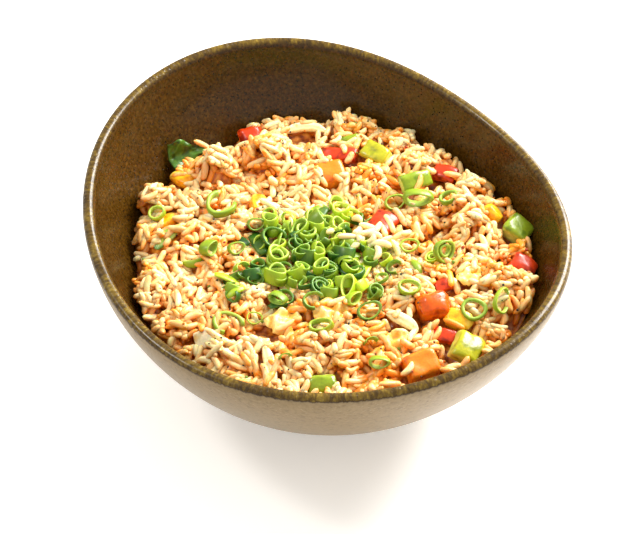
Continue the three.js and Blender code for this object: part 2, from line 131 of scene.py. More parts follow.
# The heap of spring onion: its shift from the CAD heap's middle, how far past its outline rings
# may fall, and how high they may lie at the middle and how much lower at the outline
ONION_SHIFT = (-2, -4)
ONION_SPILL = 1.18
ONION_RISE = 4.5
ONION_FALL = 2.4
RING_TRIES = 6000

CRUMBS = 420

# The camera's place in metres, its tilt and its lens in mm, and half the floor's side in mm
CAMERA_AT = (-0.0018, -0.54669, 0.58791)
CAMERA_TILT = math.radians(45)
CAMERA_LENS = 122.1
FLOOR_HALF = 1500


def draw(i, k):
    """A repeatable draw between 0 and 1 for item i, one stream for each k."""
    s = math.sin(i * 127.1 + k * 311.7) * 43758.5453
    return s - math.floor(s)


def between(pair, share):
    """The value a share of the way from the first of a pair to the second."""
    return pair[0] + (pair[1] - pair[0]) * share


def smooth(x, low, high):
    """0 below low, 1 above high, and a soft step between them."""
    t = np.clip((x - low) / (high - low), 0, 1)
    return t * t * (3 - 2 * t)


def rim_radius(a):
    """How far the rim's outer edge is from the axis at angle a: an oval, a little egg-shaped."""
    return (
        RIM_RADIUS
        + RIM_SHIFT[0] * np.cos(a)
        + RIM_SHIFT[1] * np.sin(a)
        + RIM_OVAL * np.cos(2 * (a - RIM_OVAL_AXIS))
        + RIM_EGG * np.cos(3 * (a - RIM_EGG_AXIS))
    )


def rim_height(a):
    """Height of the lip's crest at angle a."""
    wave = RIM_WAVE * np.cos(2 * (a - RIM_WAVE_AXIS))
    return RIM_HEIGHT + RIM_RISE_AT_BACK * np.sin(a) + wave


def swell(share, roundness):
    """How far out a wall of this roundness is at a share of its height."""
    left = (1 - np.clip(share, 0, 1)) ** roundness
    return (1 - left) ** (1 / roundness)


def wall_radius(a, z):
    """The inner wall's distance from the axis at height z."""
    share = (z - FLOOR_HEIGHT) / (rim_height(a) - FLOOR_HEIGHT)
    reach = rim_radius(a) - LIP_WIDTH - FLOOR_RADIUS
    return FLOOR_RADIUS + reach * swell(share, INSIDE_ROUNDNESS)


def edge_height(a):
    """Height at which the heap meets the wall at angle a."""
    return EDGE_HEIGHT + EDGE_LEAN * np.cos(a - EDGE_LEAN_AT)


def edge_radius(a):
    """The heap's ragged outline, just inside the wall."""
    ragged = (2 + np.sin(5 * a + 1) + np.sin(9 * a + 4)) / 4
    return wall_radius(a, edge_height(a)) - WALL_GAP - EDGE_RAGGED * ragged


def onion_edge(a):
    """The uneven outline of the spring onion heap at angle a about its middle."""
    uneven = 1 + 0.07 * np.sin(3 * a + 1) + 0.05 * np.sin(5 * a + 2) + 0.03 * np.sin(9 * a)
    return ONION_REACH[0] * uneven * np.cos(a), ONION_REACH[1] * uneven * np.sin(a)


def in_onion(x, y):
    """Share of the way from the middle of the spring onion heap to its outline."""
    dx, dy = x - ONION_AT[0], y - ONION_AT[1]
    ex, ey = onion_edge(np.arctan2(dy / ONION_REACH[1], dx / ONION_REACH[0]))
    return np.hypot(dx, dy) / np.hypot(ex, ey)


def clump_list():
    """Place, rise and width of each clump of the heap, spread evenly over it."""
    made = []
    for i in range(CLUMPS):
        a = i * GOLDEN_ANGLE + draw(i, 1)
        r = 64 * math.sqrt((i + 0.5) / CLUMPS) + 6 * (draw(i, 2) - 0.5)
        rise = between(CLUMP_RISE, draw(i, 3))
        made.append((r * math.cos(a), r * math.sin(a), rise, between(CLUMP_WIDTH, draw(i, 4))))
    return made


CLUMP_LIST = clump_list()


def heap_top(x, y):
    """Height of the heap's top at (x, y), before any grain is laid on it."""
    a = np.arctan2(y, x)
    t = np.minimum(1, np.hypot(x, y) / edge_radius(a))
    rise = SHOULDER_RISE * (1 - t**8) + DOME_RISE * (1 - t * t)
    lumps = sum(
        c[2] * np.exp(-((x - c[0]) ** 2 + (y - c[1]) ** 2) / c[3] ** 2) for c in CLUMP_LIST
    )
    lumpy = smooth(in_onion(x, y), 0.85, 1.35)
    base = EDGE_HEIGHT + (edge_height(a) - EDGE_HEIGHT) * t
    return base + rise + lumps * lumpy * (1 - t**12)


def on_heap(x, y, lift=0, turn=0, tip=0, roll=0):
    """The placing of a shape on the heap: Z along the heap's normal, then turned and tipped."""
    step = 2
    slope_x = (heap_top(x + step, y) - heap_top(x - step, y)) / (2 * step)
    slope_y = (heap_top(x, y + step) - heap_top(x, y - step)) / (2 * step)
    normal = Vector((-slope_x, -slope_y, 1)).normalized()
    stand = Vector((0, 0, 1)).rotation_difference(normal).to_matrix()
    spin = Matrix.Rotation(math.radians(turn), 3, "Z")
    spin = spin @ Matrix.Rotation(math.radians(tip), 3, "X")
    spin = spin @ Matrix.Rotation(math.radians(roll), 3, "Y")
    place = Vector((x, y, heap_top(x, y) + lift))
    return Matrix.Translation(place) @ (stand @ spin).to_4x4()


# Meshes


def mesh_object(name, points, faces, smooth_faces=True, **attributes):
    """An object whose mesh has these points, in mm, and named attributes on its points."""
    mesh = bpy.data.meshes.new(name)
    mesh.from_pydata((np.asarray(points, float) * MM).tolist(), [], faces)
    for key, values in attributes.items():
        values = np.asarray(values, np.float32)
        kind = "FLOAT_VECTOR" if values.ndim == 2 else "FLOAT"
        field = "vector" if values.ndim == 2 else "value"
        mesh.attributes.new(key, kind, "POINT").data.foreach_set(field, values.ravel())
    mesh.polygons.foreach_set("use_smooth", [smooth_faces] * len(mesh.polygons))
    obj = bpy.data.objects.new(name, mesh)
    bpy.context.scene.collection.objects.link(obj)
    return obj


def outward(obj):
    """Turns a closed mesh's faces outwards."""
    work = bmesh.new()
    work.from_mesh(obj.data)
    bmesh.ops.recalc_face_normals(work, faces=work.faces)
    work.to_mesh(obj.data)
    work.free()
    return obj


def finish_piece(obj, material, slot, *nodes):
    """Gives a piece its material and its place on the body, and hides the CAD nodes that it stands
    for.
    """
    obj.data.materials.clear()
    obj.data.materials.append(material)
    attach(obj, "root")
    if nodes:
        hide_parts(*nodes)
    return obj


def wiggle(points, size, depth, seed):
    """Noise of this size and depth in mm at each point, as one number each."""
    shift = Vector((seed * 7.3, seed * 3.1, seed * 5.7))
    return np.array([noise.noise(Vector(p) / size + shift) * depth for p in points])


def ring_faces(rings, around, closed_ends=True):
    """Faces of a tube of rings, counted outwards; the ends close on one point each."""
    faces = []
    for j in range(rings - 1):
        low, high = j * around, (j + 1) * around
        for i in range(around):
            k = (i + 1) % around
            faces.append((low + i, low + k, high + k, high + i))
    if closed_ends:
        first, last = rings * around, rings * around + 1
        for i in range(around):
            k = (i + 1) % around
            faces.append((first, k, i))
            faces.append((last, (rings - 1) * around + i, (rings - 1) * around + k))
    return faces


# Node helpers


def linear(hex_colour):
    """A colour written as sRGB hex, as linear red, green, blue and alpha."""
    parts = [int(hex_colour[i : i + 2], 16) / 255 for i in (1, 3, 5)]
    return [c / 12.92 if c <= 0.04045 else ((c + 0.055) / 1.055) ** 2.4 for c in parts] + [1]


def put(tree, kind, sockets=None, out=0, ramp=None, **settings):
    """Adds a node and returns an output; settings are its properties, sockets its inputs."""
    made = tree.nodes.new(kind)
    for key, value in settings.items():
        setattr(made, key, value)
    if ramp:
        stops = made.color_ramp.elements
        while len(stops) < len(ramp):
            stops.new(0.5)
        for stop, (place, colour) in zip(stops, ramp):
            stop.position = place
            stop.color = linear(colour) if isinstance(colour, str) else (colour,) * 3 + (1,)
    for key, value in (sockets or {}).items():
        if isinstance(value, bpy.types.NodeSocket):
            tree.links.new(value, made.inputs[key])
        else:
            made.inputs[key].default_value = value
    return made.outputs[out]


def new_material(name, **shader):
    """A material of one principled shader whose constant inputs are given by name."""
    material = bpy.data.materials.new(name)
    material.use_nodes = True
    tree = material.node_tree
    surface = tree.nodes["Principled BSDF"]
    for key, value in shader.items():
        surface.inputs[key.replace("_", " ")].default_value = value
    return material, tree, surface


# Settings that a user would change


class BowlSettings(bpy.types.PropertyGroup):
    segments: bpy.props.IntProperty(
        name="Segments", description="Steps round the bowl", default=224, min=32
    )
    inside_glaze: bpy.props.FloatVectorProperty(
        name="Inside glaze", description="Dark olive-brown glaze inside", subtype="COLOR",
        size=4, default=linear("#3c2604"), min=0, max=1,
    )
    lip_glaze: bpy.props.FloatVectorProperty(
        name="Lip glaze", description="Golden glaze where it breaks over the lip", subtype="COLOR",
        size=4, default=linear("#5c4412"), min=0, max=1,
    )
    outside_glaze: bpy.props.FloatVectorProperty(
        name="Outside glaze", description="Pale satin glaze outside", subtype="COLOR",
        size=4, default=linear("#735e3b"), min=0, max=1,
    )


class RiceSettings(bpy.types.PropertyGroup):
    tries: bpy.props.IntProperty(
        name="Tries", description="Places tried for a grain; full places are skipped",
        default=16500, min=100,
    )
    grain_length: bpy.props.FloatProperty(
        name="Grain length", description="Length of a cooked grain", default=0.0074,
        unit="LENGTH", subtype="DISTANCE",
    )
    grain_width: bpy.props.FloatProperty(
        name="Grain width", description="Width of a cooked grain", default=0.0025,
        unit="LENGTH", subtype="DISTANCE",
    )
    bare_grain: bpy.props.FloatVectorProperty(
        name="Bare grain", description="Rice with no sauce on it", subtype="COLOR",
        size=4, default=linear("#ffe5a8"), min=0, max=1,
    )
    sauced_grain: bpy.props.FloatVectorProperty(
        name="Sauced grain", description="Rice coloured by the sauce", subtype="COLOR",
        size=4, default=linear("#f89c26"), min=0, max=1,
    )


class OnionSettings(bpy.types.PropertyGroup):
    rings: bpy.props.IntProperty(
        name="Rings", description="Cut pieces of spring onion in the heap", default=170, min=10
    )
    ring_radius: bpy.props.FloatProperty(
        name="Ring radius", description="Radius of a middling ring", default=0.0033,
        unit="LENGTH", subtype="DISTANCE",
    )
    light_green: bpy.props.FloatVectorProperty(
        name="Light green", description="The pale part of the onion", subtype="COLOR",
        size=4, default=linear("#b4cc24"), min=0, max=1,
    )
    dark_green: bpy.props.FloatVectorProperty(
        name="Dark green", description="The leaf end of the onion", subtype="COLOR",
        size=4, default=linear("#24540e"), min=0, max=1,
    )


class StageSettings(bpy.types.PropertyGroup):
    key_power: bpy.props.FloatProperty(
        name="Key power", description="Power of the large soft light behind the bowl",
        default=20.0, unit="POWER",
    )
    fill_power: bpy.props.FloatProperty(
        name="Fill power", description="Power of the soft light high on the left", default=3.0,
        unit="POWER",
    )
    sky: bpy.props.FloatProperty(
        name="Sky", description="Strength of the even white light", default=0.85, min=0
    )


# The bowl


def bowl_profile(a):
    """Radius and height along the profile at angle a, outside first, and way from the crest."""
    rim, top = rim_radius(a), rim_height(a)
    half = LIP_WIDTH / 2
    points = [(0.0, FOOT_HEIGHT), (12, FOOT_HEIGHT), (FOOT_INNER_RADIUS - 1, FOOT_HEIGHT)]
    points += [(FOOT_INNER_RADIUS, FOOT_HEIGHT - 0.3), (FOOT_INNER_RADIUS + 0.8, 0.3)]
    points += [(FOOT_INNER_RADIUS + 1.4, 0), (FOOT_RADIUS - 1, 0), (FOOT_RADIUS - 0.3, 0.4)]
    for share in np.linspace(0.015, 1, 30) ** 1.15:
        r = FOOT_RADIUS + (rim - FOOT_RADIUS) * swell(share, WALL_ROUNDNESS)
        points.append((r, FOOT_HEIGHT + (top - half - FOOT_HEIGHT) * share))
    crest = len(points) + 4
    for turn in np.linspace(0, math.pi, 11)[1:-1]:
        points.append((rim - half * (1 - math.cos(turn)), top - half * (1 - math.sin(turn))))
    for share in 1 - np.linspace(0, 0.985, 34) ** 1.1:
        z = FLOOR_HEIGHT + (top - half - FLOOR_HEIGHT) * share
        points.append((wall_radius(a, z), z))
    points += [(FLOOR_RADIUS - 2, FLOOR_HEIGHT), (12, FLOOR_HEIGHT), (0.0, FLOOR_HEIGHT)]
    points = np.array(points)
    along = np.concatenate([[0], np.cumsum(np.hypot(*np.diff(points, axis=0).T))])
    return points, along - along[crest]


def stoneware(glaze):
    """Reactive glazed stoneware, dipped: dark and glossy inside, breaking to gold where it thins
    over the lip, and a pale satin glaze outside that the dark one runs into."""
    material, tree, surface = new_material(
        "reactive_glazed_stoneware", Specular_IOR_Level=0.25, Coat_Weight=0.14,
        Coat_Roughness=0.08, Coat_IOR=1.5,
    )
    here = put(tree, "ShaderNodeTexCoord", out="Object")
    lip = put(tree, "ShaderNodeAttribute", out="Fac", attribute_name="from_lip")
    rim = put(tree, "ShaderNodeAttribute", out="Vector", attribute_name="round_rim")

    # Inside: olive-brown with ochre mottling of about 1.3 mm and dark pinholes about 0.7 mm across
    mottle = put(
        tree, "ShaderNodeTexNoise", {"Vector": here, "Scale": 760, "Detail": 4, "Roughness": 0.6}
    )
    fine = put(tree, "ShaderNodeTexNoise", {"Vector": here, "Scale": 1250, "Detail": 2})
    wide = put(tree, "ShaderNodeMath", {0: mottle, 1: 0.62}, operation="MULTIPLY")
    depth = put(tree, "ShaderNodeMath", {0: fine, 1: 0.45, 2: wide}, operation="MULTIPLY_ADD")
    tone = put(
        tree, "ShaderNodeValToRGB", {"Fac": depth},
        ramp=[(0.36, "#180e00"), (0.5, "#362302"), (0.6, "#4c3205"), (0.74, "#74510f")],
    )
    glazed = put(
        tree, "ShaderNodeMix", {0: 0.45, 6: tone, 7: glaze.inside_glaze}, out=2, data_type="RGBA"
    )
    dots = put(tree, "ShaderNodeTexVoronoi", {"Vector": here, "Scale": 670}, out="Distance")
    pinhole = put(tree, "ShaderNodeValToRGB", {"Fac": dots}, ramp=[(0.16, 1.0), (0.3, 0.0)])
    pit = linear("#1a1005")
    inside = put(tree, "ShaderNodeMix", {0: pinhole, 6: glazed, 7: pit}, out=2, data_type="RGBA")

    # The lip: streaks across it about 1 mm apart, gold where the glaze is thin
    streak = put(
        tree, "ShaderNodeTexNoise",
        {"Vector": rim, "Scale": 900, "Detail": 3, "Roughness": 0.6, "Distortion": 0.4},
    )
    broad = put(tree, "ShaderNodeTexNoise", {"Vector": rim, "Scale": 140, "Detail": 2})
    share = put(tree, "ShaderNodeMath", {0: broad, 1: 0.35}, operation="MULTIPLY")
    breaks = put(tree, "ShaderNodeMath", {0: streak, 1: 0.7, 2: share}, operation="MULTIPLY_ADD")
    streaks = put(
        tree, "ShaderNodeValToRGB", {"Fac": breaks},
        ramp=[(0.4, "#1c1102"), (0.5, "#46330a"), (0.6, "#6e5818"), (0.72, "#988032")],
    )
    gold = put(
        tree, "ShaderNodeMix", {0: 0.3, 6: streaks, 7: glaze.lip_glaze}, out=2, data_type="RGBA"
    )

    # Outside: cream with grey-brown freckles of about 1 mm
    freckle = put(tree, "ShaderNodeTexNoise", {"Vector": here, "Scale": 700, "Detail": 2})
    freckled = put(
        tree, "ShaderNodeValToRGB", {"Fac": freckle},
        ramp=[(0.3, "#675436"), (0.42, "#7f6b48"), (0.7, "#8f7a57")],
    )
    cream = put(
        tree, "ShaderNodeMix", {0: 0.5, 6: freckled, 7: glaze.outside_glaze}, out=2,
        data_type="RGBA",
    )

    # Each glaze ends on an uneven line, in mm from the lip's crest
    uneven = put(tree, "ShaderNodeTexNoise", {"Vector": rim, "Scale": 770, "Detail": 3})
    jitter = put(tree, "ShaderNodeMath", {0: uneven, 1: 1.6, 2: -0.8}, operation="MULTIPLY_ADD")
    line = put(tree, "ShaderNodeMath", {0: lip, 1: jitter}, operation="ADD")
    shares = [
        put(
            tree, "ShaderNodeMapRange", {"Value": line, "From Min": low, "From Max": high},
            interpolation_type="SMOOTHSTEP",
        )
        for low, high in ((1.4, 2.8), (-1.9, -2.6), (-2.4, -3.0))
    ]
    colour = put(
        tree, "ShaderNodeMix", {0: shares[0], 6: gold, 7: inside}, out=2, data_type="RGBA"
    )
    run = linear("#2c1b08")
    colour = put(tree, "ShaderNodeMix", {0: shares[1], 6: colour, 7: run}, out=2, data_type="RGBA")
    colour = put(
        tree, "ShaderNodeMix", {0: shares[2], 6: colour, 7: cream}, out=2, data_type="RGBA"
    )
    tree.links.new(colour, surface.inputs["Base Color"])

    gloss = put(
        tree, "ShaderNodeMapRange", {"Value": mottle, "From Min": 0.35, "From Max": 0.7,
                                     "To Min": 0.22, "To Max": 0.34},
    )
    satin = put(tree, "ShaderNodeMix", {0: shares[2], 2: gloss, 3: 0.42}, data_type="FLOAT")
    tree.links.new(satin, surface.inputs["Roughness"])
    half = put(tree, "ShaderNodeMath", {0: mottle, 1: 0.5}, operation="MULTIPLY")
    height = put(tree, "ShaderNodeMath", {0: half, 1: pinhole}, operation="SUBTRACT")
    bump = put(
        tree, "ShaderNodeBump", {"Height": height, "Strength": 0.35, "Distance": 0.25 * MM},
        out="Normal",
    )
    tree.links.new(bump, surface.inputs["Normal"])
    return material


class RICE_OT_bowl(bpy.types.Operator):
    """Builds the stoneware bowl over its CAD solid"""

    bl_idname = "rice.bowl"
    bl_label = "Stoneware Bowl"

    def execute(self, context):
        settings = context.scene.rice_bowl
        around = settings.segments
        points, lip, rim = [], [], []
        profiles = [bowl_profile(a) for a in np.arange(around) / around * 2 * math.pi]
        rings = len(profiles[0][0])
        for j in range(1, rings - 1):
            for i, (profile, along) in enumerate(profiles):
                a = i / around * 2 * math.pi
                r, z = profile[j]
                points.append((r * math.cos(a), r * math.sin(a), z))
                lip.append(along[j])
                round_rim = (RIM_RADIUS * math.cos(a), RIM_RADIUS * math.sin(a), along[j] * 0.4)
                rim.append([v * MM for v in round_rim])
        for j in (0, rings - 1):
            points.append((0, 0, profiles[0][0][j][1]))
            lip.append(profiles[0][1][j])
            rim.append((0, 0, 0))
        faces = ring_faces(rings - 2, around)
        bowl = mesh_object("bowl_glazed", points, faces, from_lip=lip, round_rim=rim)
        finish_piece(outward(bowl), stoneware(settings), "glazed_stoneware", "bowl")
        return {"FINISHED"}


# Diced vegetables, maize, egg and leaf

# Name, shape, size, place, lift, turn, tip, roll, bow or bend, and kind of food
TOPPINGS = [
    ("leaf_back_left", "leaf", (13, 12, 0.9), (-51.2, 50.5), 5, 20, 58, 0, 0, "leaf"),
    ("corn_back_left", "kernel", (12, 6, 5), (-52.3, 37.5), 1.4, 140, 0, -12, 0, "maize"),
    ("pepper_red_back_left", "dome", (9, 8, 6), (-27.6, 60.5), 1, 20, 40, 0, 1.5, "red"),
    ("onion_slice_back", "strip", (17, 3.6, 1.8), (-7.4, 63), 3, -4, 35, 0, 1.1, "onion"),
    ("pepper_red_back", "dice", (13, 5.5, 3.5), (5.2, 47), 0.8, -6, 25, 0, 1, "red"),
    ("pepper_green_back", "dice", (8, 4.6, 3.2), (8.8, 53), 1, 8, 30, 0, 0.8, "green"),
    ("pepper_yellow_back", "dice", (10.5, 7, 4.8), (18.6, 45.3), 1.6, -38, 22, 0, 0.8, "yellow"),
    ("carrot_back", "dice", (10, 9, 6), (2.2, 35.3), 1, 12, 25, 0, 0.6, "carrot"),
    ("pepper_green_back_right", "dice", (11.5, 6, 3.4), (32.3, 27), 0.8, 24, 14, 0, 1.2, "green"),
    ("pepper_dark_back_right", "dice", (8.5, 6, 3.6), (43.6, 34.5), 0.8, -30, 24, 0, 1.2, "red"),
    ("corn_right", "kernel", (10, 8, 5.5), (59.6, 12.8), 1.4, 66, 12, 10, 0, "maize"),
    ("pepper_green_right", "dice", (9.5, 9, 6), (68, 6), 2, -28, 14, 14, 0.8, "green"),
    ("pepper_red_right", "dice", (9.5, 7, 4.4), (69, -10.8), 0.8, -24, 14, 10, 1.2, "red"),
    ("pepper_red_middle", "dice", (10, 8.5, 4.8), (20.8, 8.8), 1.2, 58, 8, 0, 1.4, "red"),
    ("pepper_red_front", "dome", (10.5, 9.5, 7.5), (36.7, -33), 2, 14, 14, 0, 1.8, "orange"),
    ("corn_front", "kernel", (10, 8, 5.8), (45.4, -37.6), 1.6, -14, 10, 6, 0, "maize"),
    ("pepper_green_front", "dice", (10.5, 9.5, 6), (47.1, -50.4), 1.6, 66, 22, 0, 1.2, "yellow"),
    ("carrot_front", "dice", (11, 9.5, 7), (31.9, -57.2), 1.4, 26, 14, 0, 0, "carrot"),
    ("corn_middle", "kernel", (9, 7.5, 5.5), (-23.8, 22.2), 0.8, 100, 12, 0, 0, "maize"),
    ("corn_left", "kernel", (8, 6, 5), (-56.1, 16.4), 0.6, 30, 10, 0, 0, "maize"),
    ("spring_onion_left", "strip", (11, 5, 1.6), (-56.9, 6), 1.6, 42, 12, 0, 0.9, "stalk"),
    ("egg_front", "flake", (13, 10, 5), (3.3, -32.8), 1.4, 20, 8, 0, 0, "egg"),
    ("egg_middle", "flake", (13, 8, 4.5), (-14.1, -36), 1, 35, 4, 0, 0, "egg"),
    ("egg_right", "flake", (10, 7.5, 4.2), (24.4, -46), 0.8, -25, 6, 0, 0, "egg"),
    ("egg_back_right", "flake", (10, 8.5, 3.6), (50, -18.6), 0.8, 40, 8, 0, 0, "egg"),
    ("onion_strip_front", "strip", (12.5, 4.2, 2), (26.4, -38.6), 1.8, -32, 14, 0, 0.5, "onion"),
    ("pepper_skin_front", "dice", (8.5, 5, 2.6), (40, -43.4), 0.3, -18, 16, 0, 0.8, "red"),
    ("pepper_skin_right", "dice", (5.8, 4.8, 2.4), (40.8, -22), 0.4, 24, 18, 0, 0.8, "red"),
    ("cabbage_left", "dice", (7.5, 7, 3.5), (-40.5, -43), 0.8, 8, 20, 0, 0.5, "onion"),
    ("sprout_front", "strip", (17, 4, 2.6), (-18.3, -57.4), 1.5, -82, 8, 0, 0.5, "onion"),
    ("pepper_green_rim", "dice", (9.5, 7, 5), (-1.1, -64), 0.9, 6, 24, 0, 1.4, "green"),
]


def grid_block(cuts):
    """Points of a cube from -0.5 to 0.5 cut into cells, and its faces."""
    work = bmesh.new()
    bmesh.ops.create_cube(work, size=1)
    bmesh.ops.subdivide_edges(work, edges=work.edges, cuts=cuts, use_grid_fill=True)
    points = np.array([v.co for v in work.verts])
    faces = [[v.index for v in f.verts] for f in work.faces]
    work.free()
    return points, faces


def rounded(points, size, radius):
    """Moves the points of a unit block onto a block of this size with round edges."""
    half = np.array(size) / 2
    core = np.maximum(half - radius, 0.05)
    at = points * 2 * half
    inner = np.clip(at, -core, core)
    away = at - inner
    length = np.maximum(np.linalg.norm(away, axis=1, keepdims=True), 1e-6)
    reach = np.minimum(radius, half.min())
    return inner + away / length * np.minimum(length, reach)


def dice_shape(size, seed, bow, edge=0.2):
    """Diced vegetable: uneven corners, edges softened by cooking, a bowed skin side."""
    unit, faces = grid_block(11)
    points = rounded(unit, size, edge * min(size))
    share = smooth(unit, -0.25, 0.4)
    for axis, stream in enumerate((5, 6, 7)):
        stretch = np.zeros(len(unit))
        for corner in range(8):
            bits = [(corner >> b) & 1 for b in range(3)]
            near = [share[:, b] if bits[b] else 1 - share[:, b] for b in range(3)]
            weight = np.prod(near, axis=0)
            index = (1 + bits[0]) + 3 * (1 + bits[1]) + 9 * (1 + bits[2])
            stretch += weight * (1 + 0.22 * (draw(index + 31 * seed, stream) - 0.5))
        points[:, axis] *= stretch
    points[:, 2] += bow * (1 - (unit[:, 0] ** 2 + unit[:, 1] ** 2) * 2)
    points += wiggle(points, 3.5, 0.5, seed)[:, None] * unit * 1.4
    points += wiggle(points, 1.3, 0.09, seed + 40)[:, None] * unit * 2
    return points, faces, smooth(unit[:, 2], 0.28, 0.42)


def kernel_shape(size, seed, bow):
    """Maize kernel: a plump crown with a shallow dent and a narrow, paler tip."""
    unit, faces = grid_block(9)
    ball = unit / np.linalg.norm(unit, axis=1, keepdims=True) * 0.5
    plump = 0.72 * ball + 0.28 * unit
    taper = 1 - 0.42 * np.maximum(0, plump[:, 0] + 0.1)
    points = plump * np.array(size)
    points[:, 1] *= taper
    points[:, 2] *= taper
    dent = np.exp(-((unit[:, 0] + 0.15) ** 2 + unit[:, 1] ** 2) / 0.05)
    points[:, 2] -= 0.5 * dent * (unit[:, 2] > 0.3)
    points += wiggle(points, 3, 0.25, seed)[:, None] * ball * 2
    return points, faces, smooth(unit[:, 0], 0.15, 0.5)


def flake_shape(size, seed, bow):
    """Fried egg, torn: a crumpled pad with ragged edges, folds and creases between them."""
    unit, faces = grid_block(21)
    ball = unit / np.linalg.norm(unit, axis=1, keepdims=True) * 0.5
    ball = 0.75 * ball + 0.25 * unit
    a = np.arctan2(ball[:, 1], ball[:, 0])
    torn = 1 + 0.14 * np.sin(2 * a + seed) + 0.07 * np.sin(3 * a + 2 * seed)
    points = ball * np.array(size)
    ragged = torn + wiggle(points * (1, 1, 0.3), 2.6, 0.2, seed + 3)
    points[:, :2] *= ragged[:, None]
    fold = wiggle(points * (1, 1, 0.4), 3.4, 1.2, seed)
    crease = 1 - np.abs(wiggle(points * (1, 1, 0.4), 2.8, 2.2, seed + 9))
    points[:, 2] *= 0.75 + 0.5 * fold
    points[:, 2] += 1.2 * fold + 0.7 * crease
    return points, faces, smooth(fold + crease, 0.1, 1.4)


def strip_shape(size, seed, bend):
    """A slice bent to an arc, with tapered ends: onion, bean sprout or spring onion leaf."""
    unit, faces = grid_block(13)
    length, width, height = size
    block = rounded(unit, (1, 1, 1), 0.3)
    radius = length / max(0.01, abs(bend))
    a = block[:, 0] * bend
    end = 1 - 0.5 * np.abs(2 * block[:, 0]) ** 3
    r = radius + block[:, 1] * width * end
    points = np.stack([np.sin(a) * r, np.cos(a) * r - radius, block[:, 2] * height * end], axis=1)
    ridge = 0.06 * np.sin(block[:, 1] * 16)
    points[:, 2] += np.where(block[:, 2] > 0, ridge, 0) + wiggle(points, 4, 0.5, seed)
    return points, faces, smooth(block[:, 1], -0.1, 0.4)


def leaf_shape(size, seed, bow):
    """A torn piece of leaf: a thin wavy sheet folded along its rib, narrow at its end, veined."""
    unit, faces = grid_block(19)
    side = np.abs(unit[:, 1])
    narrow = 1 - 0.72 * smooth(unit[:, 0], -0.25, 0.55) + 0.1 * np.sin(9 * unit[:, 0] + 2)
    fold = 5 * side * narrow + 1.6 * unit[:, 0] ** 2
    wave = 0.8 * np.sin(7 * unit[:, 0] + 6 * unit[:, 1]) * (0.3 + side)
    points = np.stack(
        [
            unit[:, 0] * size[0] * (1.1 - 0.4 * side),
            unit[:, 1] * size[1] * narrow,
            unit[:, 2] * size[2] + fold + wave,
        ],
        axis=1,
    )
    slant = np.sin((unit[:, 0] - 0.9 * side) * 24)
    points[:, 2] += 0.14 * slant + wiggle(points, 3, 0.7, seed)
    vein = np.maximum(np.clip(slant, 0, 1) ** 2, smooth(-side, -0.07, -0.02))
    return points, faces, 0.2 + 0.6 * vein


def dome_shape(size, seed, bow):
    """A swollen piece of pepper, round at all its edges."""
    return dice_shape(size, seed, bow, 0.34)


# Each shape takes a size, a seed and a bow, also where it has no bow
SHAPES = {
    "dice": dice_shape,
    "dome": dome_shape,
    "kernel": kernel_shape,
    "flake": flake_shape,
    "strip": strip_shape,
    "leaf": leaf_shape,
}


def placed_topping(index):
    """Points of a topping where it lies, its faces and how much of each point is skin."""
    _, shape, size, at, lift, turn, tip, roll, bow, _ = TOPPINGS[index]
    points, faces, skin = SHAPES[shape](size, index + 1, bow)
    place = on_heap(*at, lift, turn, tip, roll)
    turned = np.array(place.to_3x3())
    return points @ turned.T + np.array(place.translation), faces, skin


# Settling of grains and rings on what is below them

# The large clumps that stand out of the heap: place, rise and width in mm
LARGE_CLUMPS = [
    ((-41, 38), 8, 9), ((-62, 24), 5.5, 8), ((-22, 46), 6, 7), ((4, 50), 5, 7),
    ((26, 48), 5, 7), ((61, -25), 4, 9), ((-8, -56), 4, 9), ((-40, -42), 5, 8),
    ((51, 12), 3, 7), ((-57, -18), 4, 8), ((-30, 24), -4, 6), ((-8, 57), -7, 8),
    ((15, 44), -3, 5), ((-52, 36), -3, 5),
]


def clump_relief(x, y):
    """Clumps of loose rice, about 20 mm across with creases between them, and smaller lumps."""
    # Folded noise gives flat-topped clumps with sharp creases, the finer noises break them up
    flat = np.stack([np.ravel(x), np.ravel(y), np.zeros(np.size(x))], axis=1)
    lumps = 19 * np.minimum(np.abs(wiggle(flat, 19, 1, 3)), 0.28) - 3
    lumps += np.abs(wiggle(flat, 8, 3.4, 4)) - 0.8 + wiggle(flat, 4.5, 1, 5)
    lumps = lumps.reshape(np.shape(x))
    for (cx, cy), rise, width in LARGE_CLUMPS:
        lumps = lumps + rise * np.exp(-((x - cx) ** 2 + (y - cy) ** 2) / width**2)
    # No clump rises over a topping or hides it
    for _, _, size, (cx, cy), *_ in TOPPINGS:
        apart = smooth(np.hypot(x - cx, y - cy), 0.3 * size[0], 0.5 * size[0] + 5)
        lumps = np.where(lumps > 0, lumps * apart, lumps)
    calm = 1 - 0.7 * (1 - smooth(in_onion(x, y), 0.8, 1.3))
    by_wall = smooth(np.hypot(x, y) / edge_radius(np.arctan2(y, x)), 0.84, 0.97)
    return lumps * calm + 1.4 * by_wall


